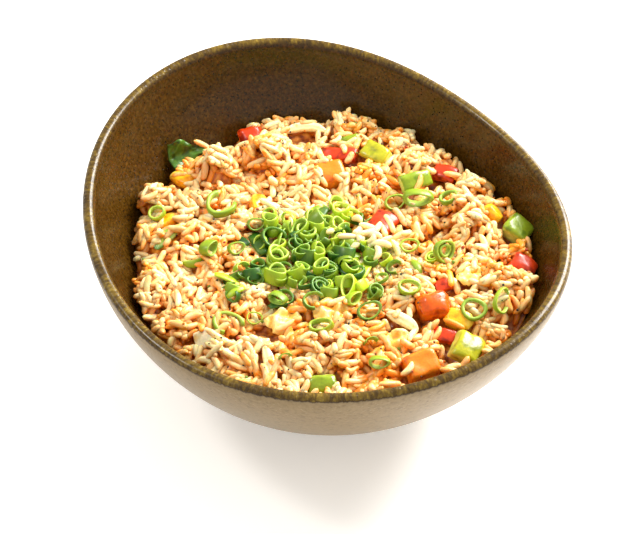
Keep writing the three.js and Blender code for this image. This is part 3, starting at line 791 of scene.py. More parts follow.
class Field:
    """Heights, in mm, of what has been laid so far, on a square grid of cells."""

    def __init__(self):
        axis = np.linspace(-FIELD_HALF, FIELD_HALF, FIELD_SIZE)
        x, y = np.meshgrid(axis, axis, indexing="ij")
        self.aim = heap_top(x, y) + clump_relief(x, y)
        self.top = self.aim - CORE_SINK
        self.near = np.zeros(x.shape, bool)
        self.covered = np.zeros(x.shape, bool)
        for index in range(len(TOPPINGS)):
            points = placed_topping(index)[0]
            self.raise_to(points[:, 0], points[:, 1], points[:, 2])
            self.near[self.cell(points[:, 0], points[:, 1])] = True
            inner = points.mean(axis=0) + 0.72 * (points - points.mean(axis=0))
            self.covered[self.cell(inner[:, 0], inner[:, 1])] = True

    def cell(self, x, y):
        """Row and column of the cell at (x, y)."""
        i = np.clip(np.rint((x + FIELD_HALF) / CELL).astype(int), 0, FIELD_SIZE - 1)
        j = np.clip(np.rint((y + FIELD_HALF) / CELL).astype(int), 0, FIELD_SIZE - 1)
        return i, j

    def under(self, x, y):
        """Height of what lies at (x, y)."""
        return self.top[self.cell(x, y)]

    def raise_to(self, x, y, z, spread=1):
        """Raises the cells round each point to its height."""
        i, j = self.cell(x, y)
        for di in range(-spread, spread + 1):
            for dj in range(-spread, spread + 1):
                at = (np.clip(i + di, 0, FIELD_SIZE - 1), np.clip(j + dj, 0, FIELD_SIZE - 1))
                np.maximum.at(self.top, at, z)


def settle_grain(field, x, y, heading, length, thick, pick):
    """Height and slope of a grain that rests on the highest points under it, on either side."""
    s = np.linspace(-0.42, 0.42, 9) * length
    cos, sin = math.cos(heading), math.sin(heading)
    h = field.under(x + s * cos, y + s * sin)
    left, right = slice(0, 4), slice(5, 9)
    span = s[right][None, :] - s[left][:, None]
    level = (h[left][:, None] * s[right][None, :] - h[right][None, :] * s[left][:, None]) / span
    k = np.unravel_index(np.argmax(level), level.shape)
    if level[k] >= h[4]:
        height = level[k]
        slope = (h[right][k[1]] - h[left][k[0]]) / span[k]
    else:
        height = h[4]
        low = np.max((h[right] - height) / s[right])
        high = np.min((h[left] - height) / s[left])
        slope = low if pick < 0.5 else high
    slope = float(np.clip(slope, -STEEPEST_GRAIN, STEEPEST_GRAIN))
    height = max(height, float(np.max(h - slope * s)))
    return height - GRAIN_SINK + thick / 2, slope


def lay_grains(field, settings, places, over, seed):
    """Drops a grain at each place that has room, up to `over` mm above the heap; returns rows of
    place, heading, slope, length, thickness, height above the heap and a random share."""
    rng = np.random.default_rng(seed)
    length0, width0 = settings.grain_length / MM, settings.grain_width / MM
    grains = []
    for x, y in places:
        broken = rng.random() < BROKEN_SHARE
        length = length0 * (rng.uniform(0.45, 0.7) if broken else rng.uniform(0.8, 1.14))
        thick = width0 * rng.uniform(0.85, 1.08)
        heading = rng.random() * math.pi
        picks = rng.random(3)
        cell = field.cell(x, y)
        if field.covered[cell] and picks[0] > ON_TOPPING_SHARE:
            continue
        z, slope = settle_grain(field, x, y, heading, length, thick, picks[1])
        top = field.aim[cell]
        leaning = field.near[cell] and picks[0] < LEANING_SHARE
        if z > top + (max(LEANING_RISE, over) if leaning else over):
            continue
        run = np.array([-0.5, 0.5]) * length / math.hypot(1, slope)
        ex, ey = x + run * math.cos(heading), y + run * math.sin(heading)
        ez = z + run * slope
        if np.any(np.hypot(ex, ey) > wall_radius(np.arctan2(ey, ex), ez) - WALL_ROOM):
            continue
        grains.append((x, y, z, heading, slope, length, thick, z - top, picks[2]))
        # The grain's own height is added to the field under it
        t = np.linspace(-0.5, 0.5, 17)[:, None] * length
        w = np.linspace(-0.5, 0.5, 7)[None, :] * thick
        bulge = np.sqrt(np.maximum(0, 1 - (2 * w / thick) ** 2) * (1 - (2 * t / length) ** 4))
        w = w * GRAIN_SPREAD
        gx = x + (t * math.cos(heading) - w * math.sin(heading))
        gy = y + (t * math.sin(heading) + w * math.cos(heading))
        field.raise_to(gx.ravel(), gy.ravel(), (z + t * slope + bulge * thick / 2).ravel(), 0)
    return grains


# Geometry Nodes


def scatter_tree(name, material, scale, seed):
    """Sets the kinds of piece on points by their own turn, size and kind, and makes them real."""
    tree = bpy.data.node_groups.new(name, "GeometryNodeTree")
    face = tree.interface
    face.new_socket("Points", in_out="INPUT", socket_type="NodeSocketGeometry")
    face.new_socket("Kinds", in_out="INPUT", socket_type="NodeSocketCollection")
    size = face.new_socket("Size", in_out="INPUT", socket_type="NodeSocketFloat")
    size.default_value = scale
    random_seed = face.new_socket("Seed", in_out="INPUT", socket_type="NodeSocketInt")
    random_seed.default_value = seed
    face.new_socket("Pieces", in_out="OUTPUT", socket_type="NodeSocketGeometry")

    entry = tree.nodes.new("NodeGroupInput").outputs
    tone = put(
        tree, "FunctionNodeRandomValue", {"Seed": entry["Seed"], "Min": 0.0, "Max": 1.0},
        out="Value", data_type="FLOAT",
    )
    tone = [s for s in tone.node.outputs if s.enabled][0]
    toned = put(
        tree, "GeometryNodeStoreNamedAttribute",
        {"Geometry": entry["Points"], "Name": "tone", "Value": tone},
        data_type="FLOAT", domain="POINT",
    )
    kinds = put(
        tree, "GeometryNodeCollectionInfo",
        {"Collection": entry["Kinds"], "Separate Children": True, "Reset Children": True},
    )
    turn = put(tree, "GeometryNodeInputNamedAttribute", {"Name": "turn"}, data_type="FLOAT_VECTOR")
    rotation = put(tree, "FunctionNodeEulerToRotation", {"Euler": turn})
    grow = put(tree, "GeometryNodeInputNamedAttribute", {"Name": "size"}, data_type="FLOAT_VECTOR")
    grown = put(
        tree, "ShaderNodeVectorMath", {0: grow, "Scale": entry["Size"]}, operation="SCALE"
    )
    kind = put(tree, "GeometryNodeInputNamedAttribute", {"Name": "kind"}, data_type="INT")
    placed = put(
        tree, "GeometryNodeInstanceOnPoints",
        {
            "Points": toned, "Instance": kinds, "Pick Instance": True, "Instance Index": kind,
            "Rotation": rotation, "Scale": grown,
        },
    )
    real = put(tree, "GeometryNodeRealizeInstances", {"Geometry": placed})
    finished = put(tree, "GeometryNodeSetMaterial", {"Geometry": real, "Material": material})
    leave = tree.nodes.new("NodeGroupOutput")
    tree.links.new(finished, leave.inputs["Pieces"])
    return tree


def scatter(name, kinds, points, material, scale=1.0, seed=1, **attributes):
    """Builds one plain mesh of all the pieces: kinds are (points, faces, attributes) in mm."""
    shelf = bpy.data.collections.new(name + "_kinds")
    bpy.context.scene.collection.children.link(shelf)
    for number, (shape, faces, own) in enumerate(kinds):
        kind = outward(mesh_object(f"{name}_kind_{number:02d}", shape, faces, **own))
        bpy.context.scene.collection.objects.unlink(kind)
        shelf.objects.link(kind)
    whole = attributes.pop("kind")
    seedbed = mesh_object(name + "_points", points, [], **attributes)
    field = seedbed.data.attributes.new("kind", "INT", "POINT")
    field.data.foreach_set("value", np.asarray(whole, np.int32))

    tree = scatter_tree(name + "_scatter", material, scale, seed)
    modifier = seedbed.modifiers.new("Scatter", "NODES")
    modifier.node_group = tree
    sockets = {s.name: s.identifier for s in tree.interface.items_tree if s.in_out == "INPUT"}
    modifier[sockets["Kinds"]] = shelf
    modifier[sockets["Size"]] = scale
    modifier[sockets["Seed"]] = seed
    bpy.context.view_layer.update()
    ready = bpy.context.evaluated_depsgraph_get()
    mesh = bpy.data.meshes.new_from_object(
        seedbed.evaluated_get(ready), preserve_all_data_layers=True, depsgraph=ready
    )
    if len(mesh.polygons) == 0:
        raise RuntimeError(f"{name} has no faces")
    mesh.polygons.foreach_set("use_smooth", [True] * len(mesh.polygons))
    made = bpy.data.objects.new(name, mesh)
    bpy.context.scene.collection.objects.link(made)
    for kind in list(shelf.objects):
        bpy.data.objects.remove(kind)
    bpy.data.collections.remove(shelf)
    seedbed.modifiers.clear()
    bpy.data.objects.remove(seedbed)
    return made


# Rice


def grain_kind(bend, blunt, split):
    """A cooked grain 1 mm long and wide: plump, bent by this much, with a blunt or split end."""
    rings, around = 7, 7
    points, along = [], []
    for j in range(rings):
        x = 0.5 * math.sin(math.pi / 2 * 0.88 * (2 * j / (rings - 1) - 1))
        r = 0.5 * (1 - abs(2 * x) ** (blunt if x > 0 else 4.2)) ** 0.5
        for i in range(around):
            a = 2 * math.pi * i / around
            notch = 1 - split * max(0, x) * 2 * math.exp(-((a - math.pi / 2) ** 2) / 0.3)
            y = r * math.cos(a)
            z = r * math.sin(a) * notch * 0.92
            points.append((x, y + bend * (4 * x * x - 0.33), z))
            along.append(abs(2 * x))
    points += [(-0.5, bend * 0.67, 0), (0.5, bend * 0.67, 0)]
    along += [1, 1]
    return points, ring_faces(rings, around), {"along": along}


GRAIN_KINDS = [
    grain_kind(0.12, 4, 0),
    grain_kind(0.34, 3.4, 0),
    grain_kind(-0.2, 5.5, 0),
    grain_kind(0.05, 7, 0.5),
    grain_kind(0.5, 4.4, 0),
]


def fried_rice(settings):
    """Long-grain rice fried in oil with dark sauce: waxy, a little translucent, pale where bare
    and orange where the sauce took, darker at the tips; painted shade makes the undersides and
    the grains that lie low between others a deeper orange."""
    material, tree, surface = new_material(
        "fried_long_grain_rice", Roughness=0.42, IOR=1.42, Subsurface_Weight=0.6,
        Subsurface_Scale=1.5 * MM, Coat_Weight=0.1, Coat_Roughness=0.2,
    )
    surface.inputs["Subsurface Radius"].default_value = (1.0, 0.7, 0.35)
    here = put(tree, "ShaderNodeTexCoord", out="Object")
    sauce = put(tree, "ShaderNodeAttribute", out="Fac", attribute_name="sauce")
    depth = put(tree, "ShaderNodeAttribute", out="Fac", attribute_name="depth")
    along = put(tree, "ShaderNodeAttribute", out="Fac", attribute_name="along")
    tone = put(tree, "ShaderNodeAttribute", out="Fac", attribute_name="tone")

    # Sauce lies in smears of about 3 mm and gathers at the tips of a grain; the undersides are
    # painted shade, mixed towards the sauced colour
    smear = put(tree, "ShaderNodeTexNoise", {"Vector": here, "Scale": 330, "Detail": 4})
    smeared = put(
        tree, "ShaderNodeMapRange",
        {"Value": smear, "From Min": 0.35, "From Max": 0.72, "To Min": -0.3, "To Max": 0.42},
    )
    tips = put(tree, "ShaderNodeMath", {0: along, 1: 0.14}, operation="MULTIPLY")
    share = put(tree, "ShaderNodeMath", {0: sauce, 1: smeared}, operation="ADD")
    share = put(tree, "ShaderNodeMath", {0: share, 1: tips}, operation="ADD")
    # Painted shade: faces turned downwards take more of the sauced colour
    facing = put(tree, "ShaderNodeNewGeometry", out="Normal")
    facing = put(tree, "ShaderNodeSeparateXYZ", {"Vector": facing}, out="Z")
    painted_underside_shade = put(
        tree, "ShaderNodeMapRange",
        {"Value": facing, "From Min": 0.6, "From Max": -0.4, "To Min": 0.0, "To Max": 0.5},
    )
    share = put(tree, "ShaderNodeMath", {0: share, 1: painted_underside_shade}, operation="ADD", use_clamp=True)
    colour = put(
        tree, "ShaderNodeMix", {0: share, 6: settings.bare_grain, 7: settings.sauced_grain}, out=2,
        data_type="RGBA",
    )
    # Painted shade: grains that lie low between others are mixed towards a deep orange
    low = put(
        tree, "ShaderNodeMapRange", {"Value": depth, "From Min": 0.5, "From Max": -1.8,
                                     "To Min": 0.0, "To Max": 0.95},
    )
    deep = linear("#dc7c12")
    colour = put(tree, "ShaderNodeMix", {0: low, 6: colour, 7: deep}, out=2, data_type="RGBA")
    value = put(
        tree, "ShaderNodeMapRange", {"Value": tone, "To Min": 0.88, "To Max": 1.06}
    )
    colour = put(
        tree, "ShaderNodeHueSaturation", {"Color": colour, "Value": value}, out="Color"
    )
    tree.links.new(colour, surface.inputs["Base Color"])

    # The skin of a cooked grain is finely wrinkled, about 0.5 mm
    skin = put(tree, "ShaderNodeTexNoise", {"Vector": here, "Scale": 1600, "Detail": 2})
    bump = put(
        tree, "ShaderNodeBump", {"Height": skin, "Strength": 0.3, "Distance": 0.12 * MM},
        out="Normal",
    )
    tree.links.new(bump, surface.inputs["Normal"])
    return material


def rice_gaps():
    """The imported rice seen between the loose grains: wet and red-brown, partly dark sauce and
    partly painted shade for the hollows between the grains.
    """
    material, tree, surface = new_material("sauce_and_shade_rice", Roughness=0.4, Coat_Weight=0.3)
    here = put(tree, "ShaderNodeTexCoord", out="Object")
    spots = put(tree, "ShaderNodeTexNoise", {"Vector": here, "Scale": 420, "Detail": 4})
    # Painted shade: a dark red-brown where the packed rice shows between the grains
    colour = put(
        tree, "ShaderNodeValToRGB", {"Fac": spots},
        ramp=[(0.34, "#7a3203"), (0.5, "#c2690b"), (0.68, "#f0a032")],
    )
    tree.links.new(colour, surface.inputs["Base Color"])
    bump = put(
        tree, "ShaderNodeBump", {"Height": spots, "Strength": 0.6, "Distance": 0.8 * MM},
        out="Normal",
    )
    tree.links.new(bump, surface.inputs["Normal"])
    return material


# What later pieces need of earlier ones: the field of heights and the shared materials
LAID = {}


def grain_piece(name, grains, sauce, seed):
    """One piece of all these grains."""
    x, y, z, heading, slope, length, thick, depth, _ = grains.T
    rng = np.random.default_rng(seed)
    made = scatter(
        name, GRAIN_KINDS, np.stack([x, y, z], axis=1), LAID["rice"], 1.0, seed,
        turn=np.stack([rng.uniform(-0.9, 0.9, len(x)), -np.arctan(slope), heading], axis=1),
        size=np.stack([length, thick, thick], axis=1), sauce=sauce, depth=depth,
        kind=rng.choice(len(GRAIN_KINDS), len(x), p=[0.34, 0.24, 0.2, 0.12, 0.1]),
    )
    finish_piece(made, LAID["rice"], "rice", "rice")


class RICE_OT_heap(bpy.types.Operator):
    """Packed rice that fills the bowl below the loose grains"""

    bl_idname = "rice.heap"
    bl_label = "Packed Rice"

    def execute(self, context):
        around, rings = 128, 44
        angle = np.linspace(0, 2 * math.pi, around, endpoint=False)
        rows = []
        for j in range(1, rings + 1):
            r = (edge_radius(angle) + 0.2) * j / rings
            x, y = r * np.cos(angle), r * np.sin(angle)
            top = heap_top(x, y) + clump_relief(x, y) - CORE_SINK
            rows.append(np.stack([x, y, top], axis=1))
        low_edge = rows[-1][:, 2]
        for share in np.linspace(0.08, 1, 14):
            z = low_edge + (FLOOR_HEIGHT + 0.8 - low_edge) * share
            r = wall_radius(angle, z) - WALL_GAP
            rows.append(np.stack([r * np.cos(angle), r * np.sin(angle), z], axis=1))
        points = np.concatenate(rows)
        middle = [[0, 0, rows[0][:, 2].mean()]]
        floor = [[0, 0, FLOOR_HEIGHT + 0.8]]
        points = np.concatenate([points, middle, floor])
        core = outward(mesh_object("rice_packed", points, ring_faces(len(rows), around)))
        finish_piece(core, rice_gaps(), "rice", "rice")
        return {"FINISHED"}


class RICE_OT_grains(bpy.types.Operator):
    """Loose grains, each settled on what lies below it"""

    bl_idname = "rice.grains"
    bl_label = "Rice Grains"

    def execute(self, context):
        settings = context.scene.rice_rice
        field = LAID["field"] = Field()
        rng = np.random.default_rng(5)
        angle = rng.random(settings.tries) * 2 * math.pi
        reach = np.sqrt(rng.random(settings.tries))
        reach *= wall_radius(angle, edge_height(angle) + 2) - 1.4
        places = np.stack([reach * np.cos(angle), reach * np.sin(angle)], axis=1)
        grains = np.array(lay_grains(field, settings, places, GRAIN_RISE, 11))
        x, y, z, pick = grains[:, [0, 1, 2, 8]].T
        # The sauce took in patches about 13 mm across, and more to the front
        patch = wiggle(np.stack([x, y, z], axis=1), 13, 0.75, 8)
        near = smooth(-y, -10, 60) * smooth(x, -60, 10)
        sauce = np.clip(0.3 + patch + 0.16 * near + 0.6 * (pick - 0.5), 0, 1)
        LAID["rice"] = fried_rice(settings)
        pale = sauce < np.median(sauce)
        grain_piece("rice_pale_grains", grains[pale], sauce[pale], 7)
        grain_piece("rice_sauced_grains", grains[~pale], sauce[~pale], 8)
        return {"FINISHED"}


# Spring onion


def tube_kind(length, wall, sweep, squash, around=16):
    """A cut ring of spring onion of radius 1 mm: sweep below a full turn leaves it open."""
    profile = [
        (1, -0.42), (1.02, 0), (1, 0.42), (1 - 0.3 * wall, 0.5), (1 - 0.7 * wall, 0.5),
        (1 - wall, 0.42), (1 - wall, -0.42), (1 - 0.7 * wall, -0.5), (1 - 0.3 * wall, -0.5),
    ]
    inner = [0, 0, 0, 0.5, 0.8, 1, 1, 0.8, 0.5]
    closed = sweep >= 2 * math.pi
    steps = around if closed else around + 1
    points, inside, faces = [], [], []
    for i in range(steps):
        a = sweep * i / around
        uneven = 1 + 0.05 * math.sin(3 * a + 1)
        for (r, z), share in zip(profile, inner):
            x, y = r * math.cos(a) * uneven * (1 + squash), r * math.sin(a) * uneven * (1 - squash)
            points.append((x, y, z * length + 0.08 * math.sin(2 * a)))
            inside.append(share)
    count = len(profile)
    for i in range(around):
        k = (i + 1) % steps
        for j in range(count):
            m = (j + 1) % count
            faces.append((i * count + j, k * count + j, k * count + m, i * count + m))
    if not closed:
        faces.append(tuple(range(count)))
        faces.append(tuple(reversed(range(around * count, steps * count))))
    return points, faces, {"inner": inside}


def joined_kinds(*kinds):
    """One kind from several, each a ring inside the next."""
    points, faces, inside = [], [], []
    for more, their_faces, own in kinds:
        faces += [tuple(i + len(points) for i in f) for f in their_faces]
        points += more
        inside += own["inner"]
    return points, faces, {"inner": inside}


def smaller(kind, share):
    """The same kind at a share of its size, to lie inside a ring."""
    points, faces, own = kind
    return [(x * share, y * share + 0.06, z * 0.9) for x, y, z in points], faces, own


def ribbon_kind(length, width, bend, curl):
    """A strip of the green tube, cut along: thin, bent along its length and curled across."""
    points, faces = [], []
    steps, across = 9, 4
    radius = length / bend
    for side in (0, 1):
        for i in range(steps + 1):
            a = bend * (i / steps - 0.5)
            taper = 1 - 0.5 * abs(2 * i / steps - 1) ** 3
            for j in range(across + 1):
                v = (j / across - 0.5) * width * taper
                r = radius - 0.16 * side - curl * v * v
                points.append((math.sin(a) * r, v, math.cos(a) * r - radius))
    row = across + 1
    back = (steps + 1) * row
    for i in range(steps):
        for j in range(across):
            k = i * row + j
            faces.append((k, k + 1, k + row + 1, k + row))
            faces.append((back + k, back + k + row, back + k + row + 1, back + k + 1))
    edge = [i * row for i in range(steps + 1)] + [steps * row + j for j in range(1, row)]
    edge += [i * row + across for i in range(steps - 1, -1, -1)] + list(range(across - 1, 0, -1))
    for one, two in zip(edge, edge[1:] + edge[:1]):
        faces.append((one, two, back + two, back + one))
    return points, faces, {"inner": [0.0] * back + [0.9] * back}


FULL = 2 * math.pi
ONION_KINDS = [
    tube_kind(1.0, 0.26, FULL, 0.06),
    tube_kind(1.5, 0.22, FULL, 0.18),
    joined_kinds(tube_kind(0.8, 0.22, FULL, 0.02), smaller(tube_kind(0.8, 0.36, FULL, 0.05), 0.6)),
    tube_kind(1.1, 0.22, FULL * 0.72, 0.1),
    tube_kind(1.9, 0.24, FULL, 0.3),
    tube_kind(1.5, 0.16, FULL * 0.4, 0, around=8),
    ribbon_kind(3.4, 1.1, 0.8, 0.25),
    tube_kind(0.6, 0.16, FULL, 0.12),
]
# Share of each kind in the heap
ONION_MIX = [0.18, 0.24, 0.04, 0.12, 0.18, 0.09, 0.1, 0.05]


def settle_ring(field, x, y, turn, radius, length):
    """Height of a ring's middle when its lowest points touch what is below, and its points."""
    place = Euler(turn, "XYZ").to_matrix()
    a = np.linspace(0, 2 * math.pi, 20, endpoint=False)
    rim = np.stack([np.cos(a) * radius, np.sin(a) * radius], axis=1)
    levels = (-0.5, -0.2, 0.2, 0.5)
    shell = np.array([(p[0], p[1], z * length * radius) for p in rim for z in levels])
    shell = shell @ np.array(place).T
    touch = field.under(x + shell[:, 0], y + shell[:, 1]) - shell[:, 2]
    return float(np.quantile(touch, 0.8)), shell


def lay_rings(field, settings):
    """Drops rings on the heap's middle; returns place, turn, size, kind and shade."""
    rng = np.random.default_rng(23)
    base = settings.ring_radius / MM
    rings, tried = [], 0
    while len(rings) < settings.rings and tried < RING_TRIES:
        tried += 1
        a, r = rng.random() * 2 * math.pi, rng.random() ** 0.55 * ONION_SPILL
        ex, ey = onion_edge(a)
        x = ONION_AT[0] + ONION_SHIFT[0] + ex * r
        y = ONION_AT[1] + ONION_SHIFT[1] + ey * r
        kind = int(rng.choice(len(ONION_KINDS), p=ONION_MIX))
        radius = base * rng.uniform(0.7, 1.34)
        length = ring_length(kind)
        flat = rng.random() < (0.25 if kind in (1, 4) else 0.5)
        tip = rng.normal(0, 0.3) if flat else rng.uniform(-1.6, 1.6)
        turn = (tip, rng.normal(0, 0.3), rng.random() * 2 * math.pi)
        z, shell = settle_ring(field, x, y, turn, radius, length)
        if z > heap_top(x, y) + ONION_RISE - ONION_FALL * r * r:
            continue
        field.raise_to(x + shell[:, 0], y + shell[:, 1], z + shell[:, 2], 0)
        # Rings are darker green towards the front and left
        low = smooth(-(x + y * 0.8), -12, 26)
        shade = np.clip(0.32 + 0.35 * low + 1.35 * (rng.random() - 0.45), 0, 1)
        rings.append((x, y, z, *turn, radius, kind, shade))
    return np.array(rings)


def ring_length(kind):
    """Length of a kind of onion piece along its tube."""
    heights = [p[2] for p in ONION_KINDS[kind][0]]
    return max(heights) - min(heights)


def cut_onion(settings):
    """Raw spring onion, thinly cut: waxy green skin, wet pale cut faces, light shining through."""
    material, tree, surface = new_material(
        "cut_spring_onion", Roughness=0.4, IOR=1.42, Subsurface_Weight=0.25,
        Subsurface_Scale=1.4 * MM, Coat_Weight=0.1, Coat_Roughness=0.14,
    )
    surface.inputs["Subsurface Radius"].default_value = (0.6, 1.0, 0.2)
    here = put(tree, "ShaderNodeTexCoord", out="Object")
    shade = put(tree, "ShaderNodeAttribute", out="Fac", attribute_name="shade")
    inner = put(tree, "ShaderNodeAttribute", out="Fac", attribute_name="inner")
    patches = put(tree, "ShaderNodeTexNoise", {"Vector": here, "Scale": 260, "Detail": 3})
    share = put(
        tree, "ShaderNodeMath", {0: patches, 1: 0.5, 2: shade}, operation="MULTIPLY_ADD"
    )
    share = put(tree, "ShaderNodeMath", {0: share, 1: 0.25}, operation="SUBTRACT", use_clamp=True)
    green = put(
        tree, "ShaderNodeMix", {0: share, 6: settings.light_green, 7: settings.dark_green}, out=2,
        data_type="RGBA",
    )
    pale = put(
        tree, "ShaderNodeMix", {0: share, 6: linear("#d4e27a"), 7: linear("#8fbe40")}, out=2,
        data_type="RGBA",
    )
    cut = put(tree, "ShaderNodeMath", {0: inner, 1: 0.5}, operation="MULTIPLY")
    colour = put(tree, "ShaderNodeMix", {0: cut, 6: green, 7: pale}, out=2, data_type="RGBA")
    tree.links.new(colour, surface.inputs["Base Color"])
    # Veins run along the tube about 0.4 mm apart; noise stands in for them at this size
    veins = put(tree, "ShaderNodeTexNoise", {"Vector": here, "Scale": 1900, "Detail": 2})
    bump = put(
        tree, "ShaderNodeBump", {"Height": veins, "Strength": 0.25, "Distance": 0.15 * MM},
        out="Normal",
    )
    tree.links.new(bump, surface.inputs["Normal"])
    return material


# Loose rings on the rice: place, radius, length, turn, tip and kind
STRAYS = [
    ((25, 18.2), 3.4, 2.6, 20, 34, 1), ((33, 17.2), 4.2, 4, 0, 70, 4),
    ((41.4, -9.6), 4.2, 2.6, 40, 58, 2), ((60, -33), 4.4, 2, 70, 48, 7),
    ((50.4, -35.6), 4.3, 2.2, 0, 6, 0), ((-33.1, -39.2), 5, 2.2, 0, 12, 3),
    ((-24.2, -35.2), 2.5, 2.2, 0, 20, 7), ((-40.9, -3.1), 2.9, 4.6, 60, 70, 1),
    ((-46, -7.8), 2.4, 4, 10, 66, 6), ((-37.4, 20.5), 6, 3, 100, 8, 3),
    ((-60.4, 17.6), 3, 2.4, 0, 20, 0), ((43.9, 16.3), 3.4, 2.4, 0, 14, 0),
    ((-1.5, -43.2), 3.3, 4, 0, 34, 4), ((14.9, -37), 3.8, 3, 24, 30, 1),
    ((17.9, -59), 2.8, 3, 0, 60, 4), ((-13.2, -56.4), 2.4, 3, 40, 30, 5),
    ((28.6, -27.5), 3.4, 3.2, 0, 24, 1), ((-31.3, -3), 2.7, 3, 30, 46, 1),
    ((-28.6, -13.8), 3.4, 3, 60, 30, 5), ((-16.2, -27.7), 2.6, 4, -30, 72, 4),
    ((-4.2, -30.8), 3.4, 3, 24, 24, 3), ((15.7, -49.5), 2.6, 3, 40, 20, 5),
    ((29.5, -3.4), 3, 2.4, 10, 34, 1), ((31.6, -13.6), 2.4, 2, 110, 12, 6),
    ((9.5, -29.7), 2.6, 3.6, 50, 64, 4), ((-24.6, 9.4), 2.8, 3.4, 15, 50, 1),
    ((-30.6, -26.4), 2.2, 1.8, 35, 10, 6),
]


class RICE_OT_onion(bpy.types.Operator):
    """Spring onion rings heaped on the middle"""

    bl_idname = "rice.onion"
    bl_label = "Spring Onion Heap"

    def execute(self, context):
        if "field" not in LAID:
            raise RuntimeError("the grains are laid before the spring onion")
        settings = context.scene.rice_onion
        material = LAID["onion"] = cut_onion(settings)
        rings = lay_rings(LAID["field"], settings)
        made = scatter(
            "spring_onion_rings", ONION_KINDS, rings[:, :3], material, 1.0, 31,
            turn=rings[:, 3:6], size=np.repeat(rings[:, 6:7], 3, axis=1), kind=rings[:, 7],
            shade=rings[:, 8],
        )
        finish_piece(made, material, "onion_green", "spring_onion")
        return {"FINISHED"}


class RICE_OT_top_grains(bpy.types.Operator):
    """Bare grains of rice that fell on the spring onion heap"""

    bl_idname = "rice.top_grains"
    bl_label = "Grains on the Onion"

    def execute(self, context):
        # Two dozen tries on the right of the heap's middle
        rng = np.random.default_rng(61)
        places = rng.normal((16, 0), (8, 3.2), (24, 2))
        grains = np.array(lay_grains(LAID["field"], context.scene.rice_rice, places, 9, 62))
        # These lie high, so they get none of the painted shade of low-lying grains
        grains[:, 7] = 0.4
        grain_piece("rice_on_onion", grains, np.full(len(grains), -0.2), 63)
        return {"FINISHED"}


class RICE_OT_strays(bpy.types.Operator):
    """Rings of spring onion that lie apart on the rice"""

    bl_idname = "rice.strays"
    bl_label = "Loose Onion Rings"

    def execute(self, context):
        points, turns, sizes, kinds, shades = [], [], [], [], []
        for number, (at, radius, length, turn, tip, kind) in enumerate(STRAYS):
            angles = on_heap(*at, 0, turn, tip).to_3x3().to_euler("XYZ")
            z = settle_ring(LAID["field"], *at, angles, radius, length / radius)[0]
            points.append((*at, z))
            turns.append(angles)
            sizes.append((radius, radius, length / ring_length(kind)))
            kinds.append(kind)
            shades.append(0.25 + 0.6 * draw(number, 9))
        material = LAID["onion"]
        made = scatter(
            "loose_onion_rings", ONION_KINDS, np.array(points), material, 1.0, 37,
            turn=np.array(turns), size=np.array(sizes), kind=kinds, shade=shades,
        )
        finish_piece(made, material, "onion_green", "rice")
        return {"FINISHED"}


# Toppings' materials


def cooked_vegetable(name, flesh, skin, deep, roughness, glow):
    """Diced vegetable, fried: glossy skin over paler wet flesh, patchy where oil and heat took."""
    material, tree, surface = new_material(
        name, Roughness=roughness, IOR=1.4, Subsurface_Weight=glow, Subsurface_Scale=2.2 * MM,
        Coat_Weight=0.2, Coat_Roughness=0.12,
    )
    surface.inputs["Subsurface Radius"].default_value = (1.0, 0.5, 0.2)
    here = put(tree, "ShaderNodeTexCoord", out="Object")
    outer = put(tree, "ShaderNodeAttribute", out="Fac", attribute_name="skin")
    patches = put(tree, "ShaderNodeTexNoise", {"Vector": here, "Scale": 240, "Detail": 4})
    fibres = put(tree, "ShaderNodeTexNoise", {"Vector": here, "Scale": 1100, "Detail": 3})
    inside = put(
        tree, "ShaderNodeValToRGB", {"Fac": patches},
        ramp=[(0.35, deep), (0.5, flesh), (0.72, flesh)],
    )
    outside = put(
        tree, "ShaderNodeValToRGB", {"Fac": patches},
        ramp=[(0.34, deep), (0.46, skin), (0.8, skin)],
    )
    colour = put(tree, "ShaderNodeMix", {0: outer, 6: inside, 7: outside}, out=2, data_type="RGBA")
    value = put(
        tree, "ShaderNodeMapRange",
        {"Value": fibres, "From Min": 0.3, "From Max": 0.7, "To Min": 0.86, "To Max": 1.1},
    )
    colour = put(
        tree, "ShaderNodeHueSaturation", {"Color": colour, "Value": value}, out="Color"
    )
    tree.links.new(colour, surface.inputs["Base Color"])
    bump = put(
        tree, "ShaderNodeBump", {"Height": fibres, "Strength": 0.3, "Distance": 0.25 * MM},
        out="Normal",
    )
    tree.links.new(bump, surface.inputs["Normal"])
    return material


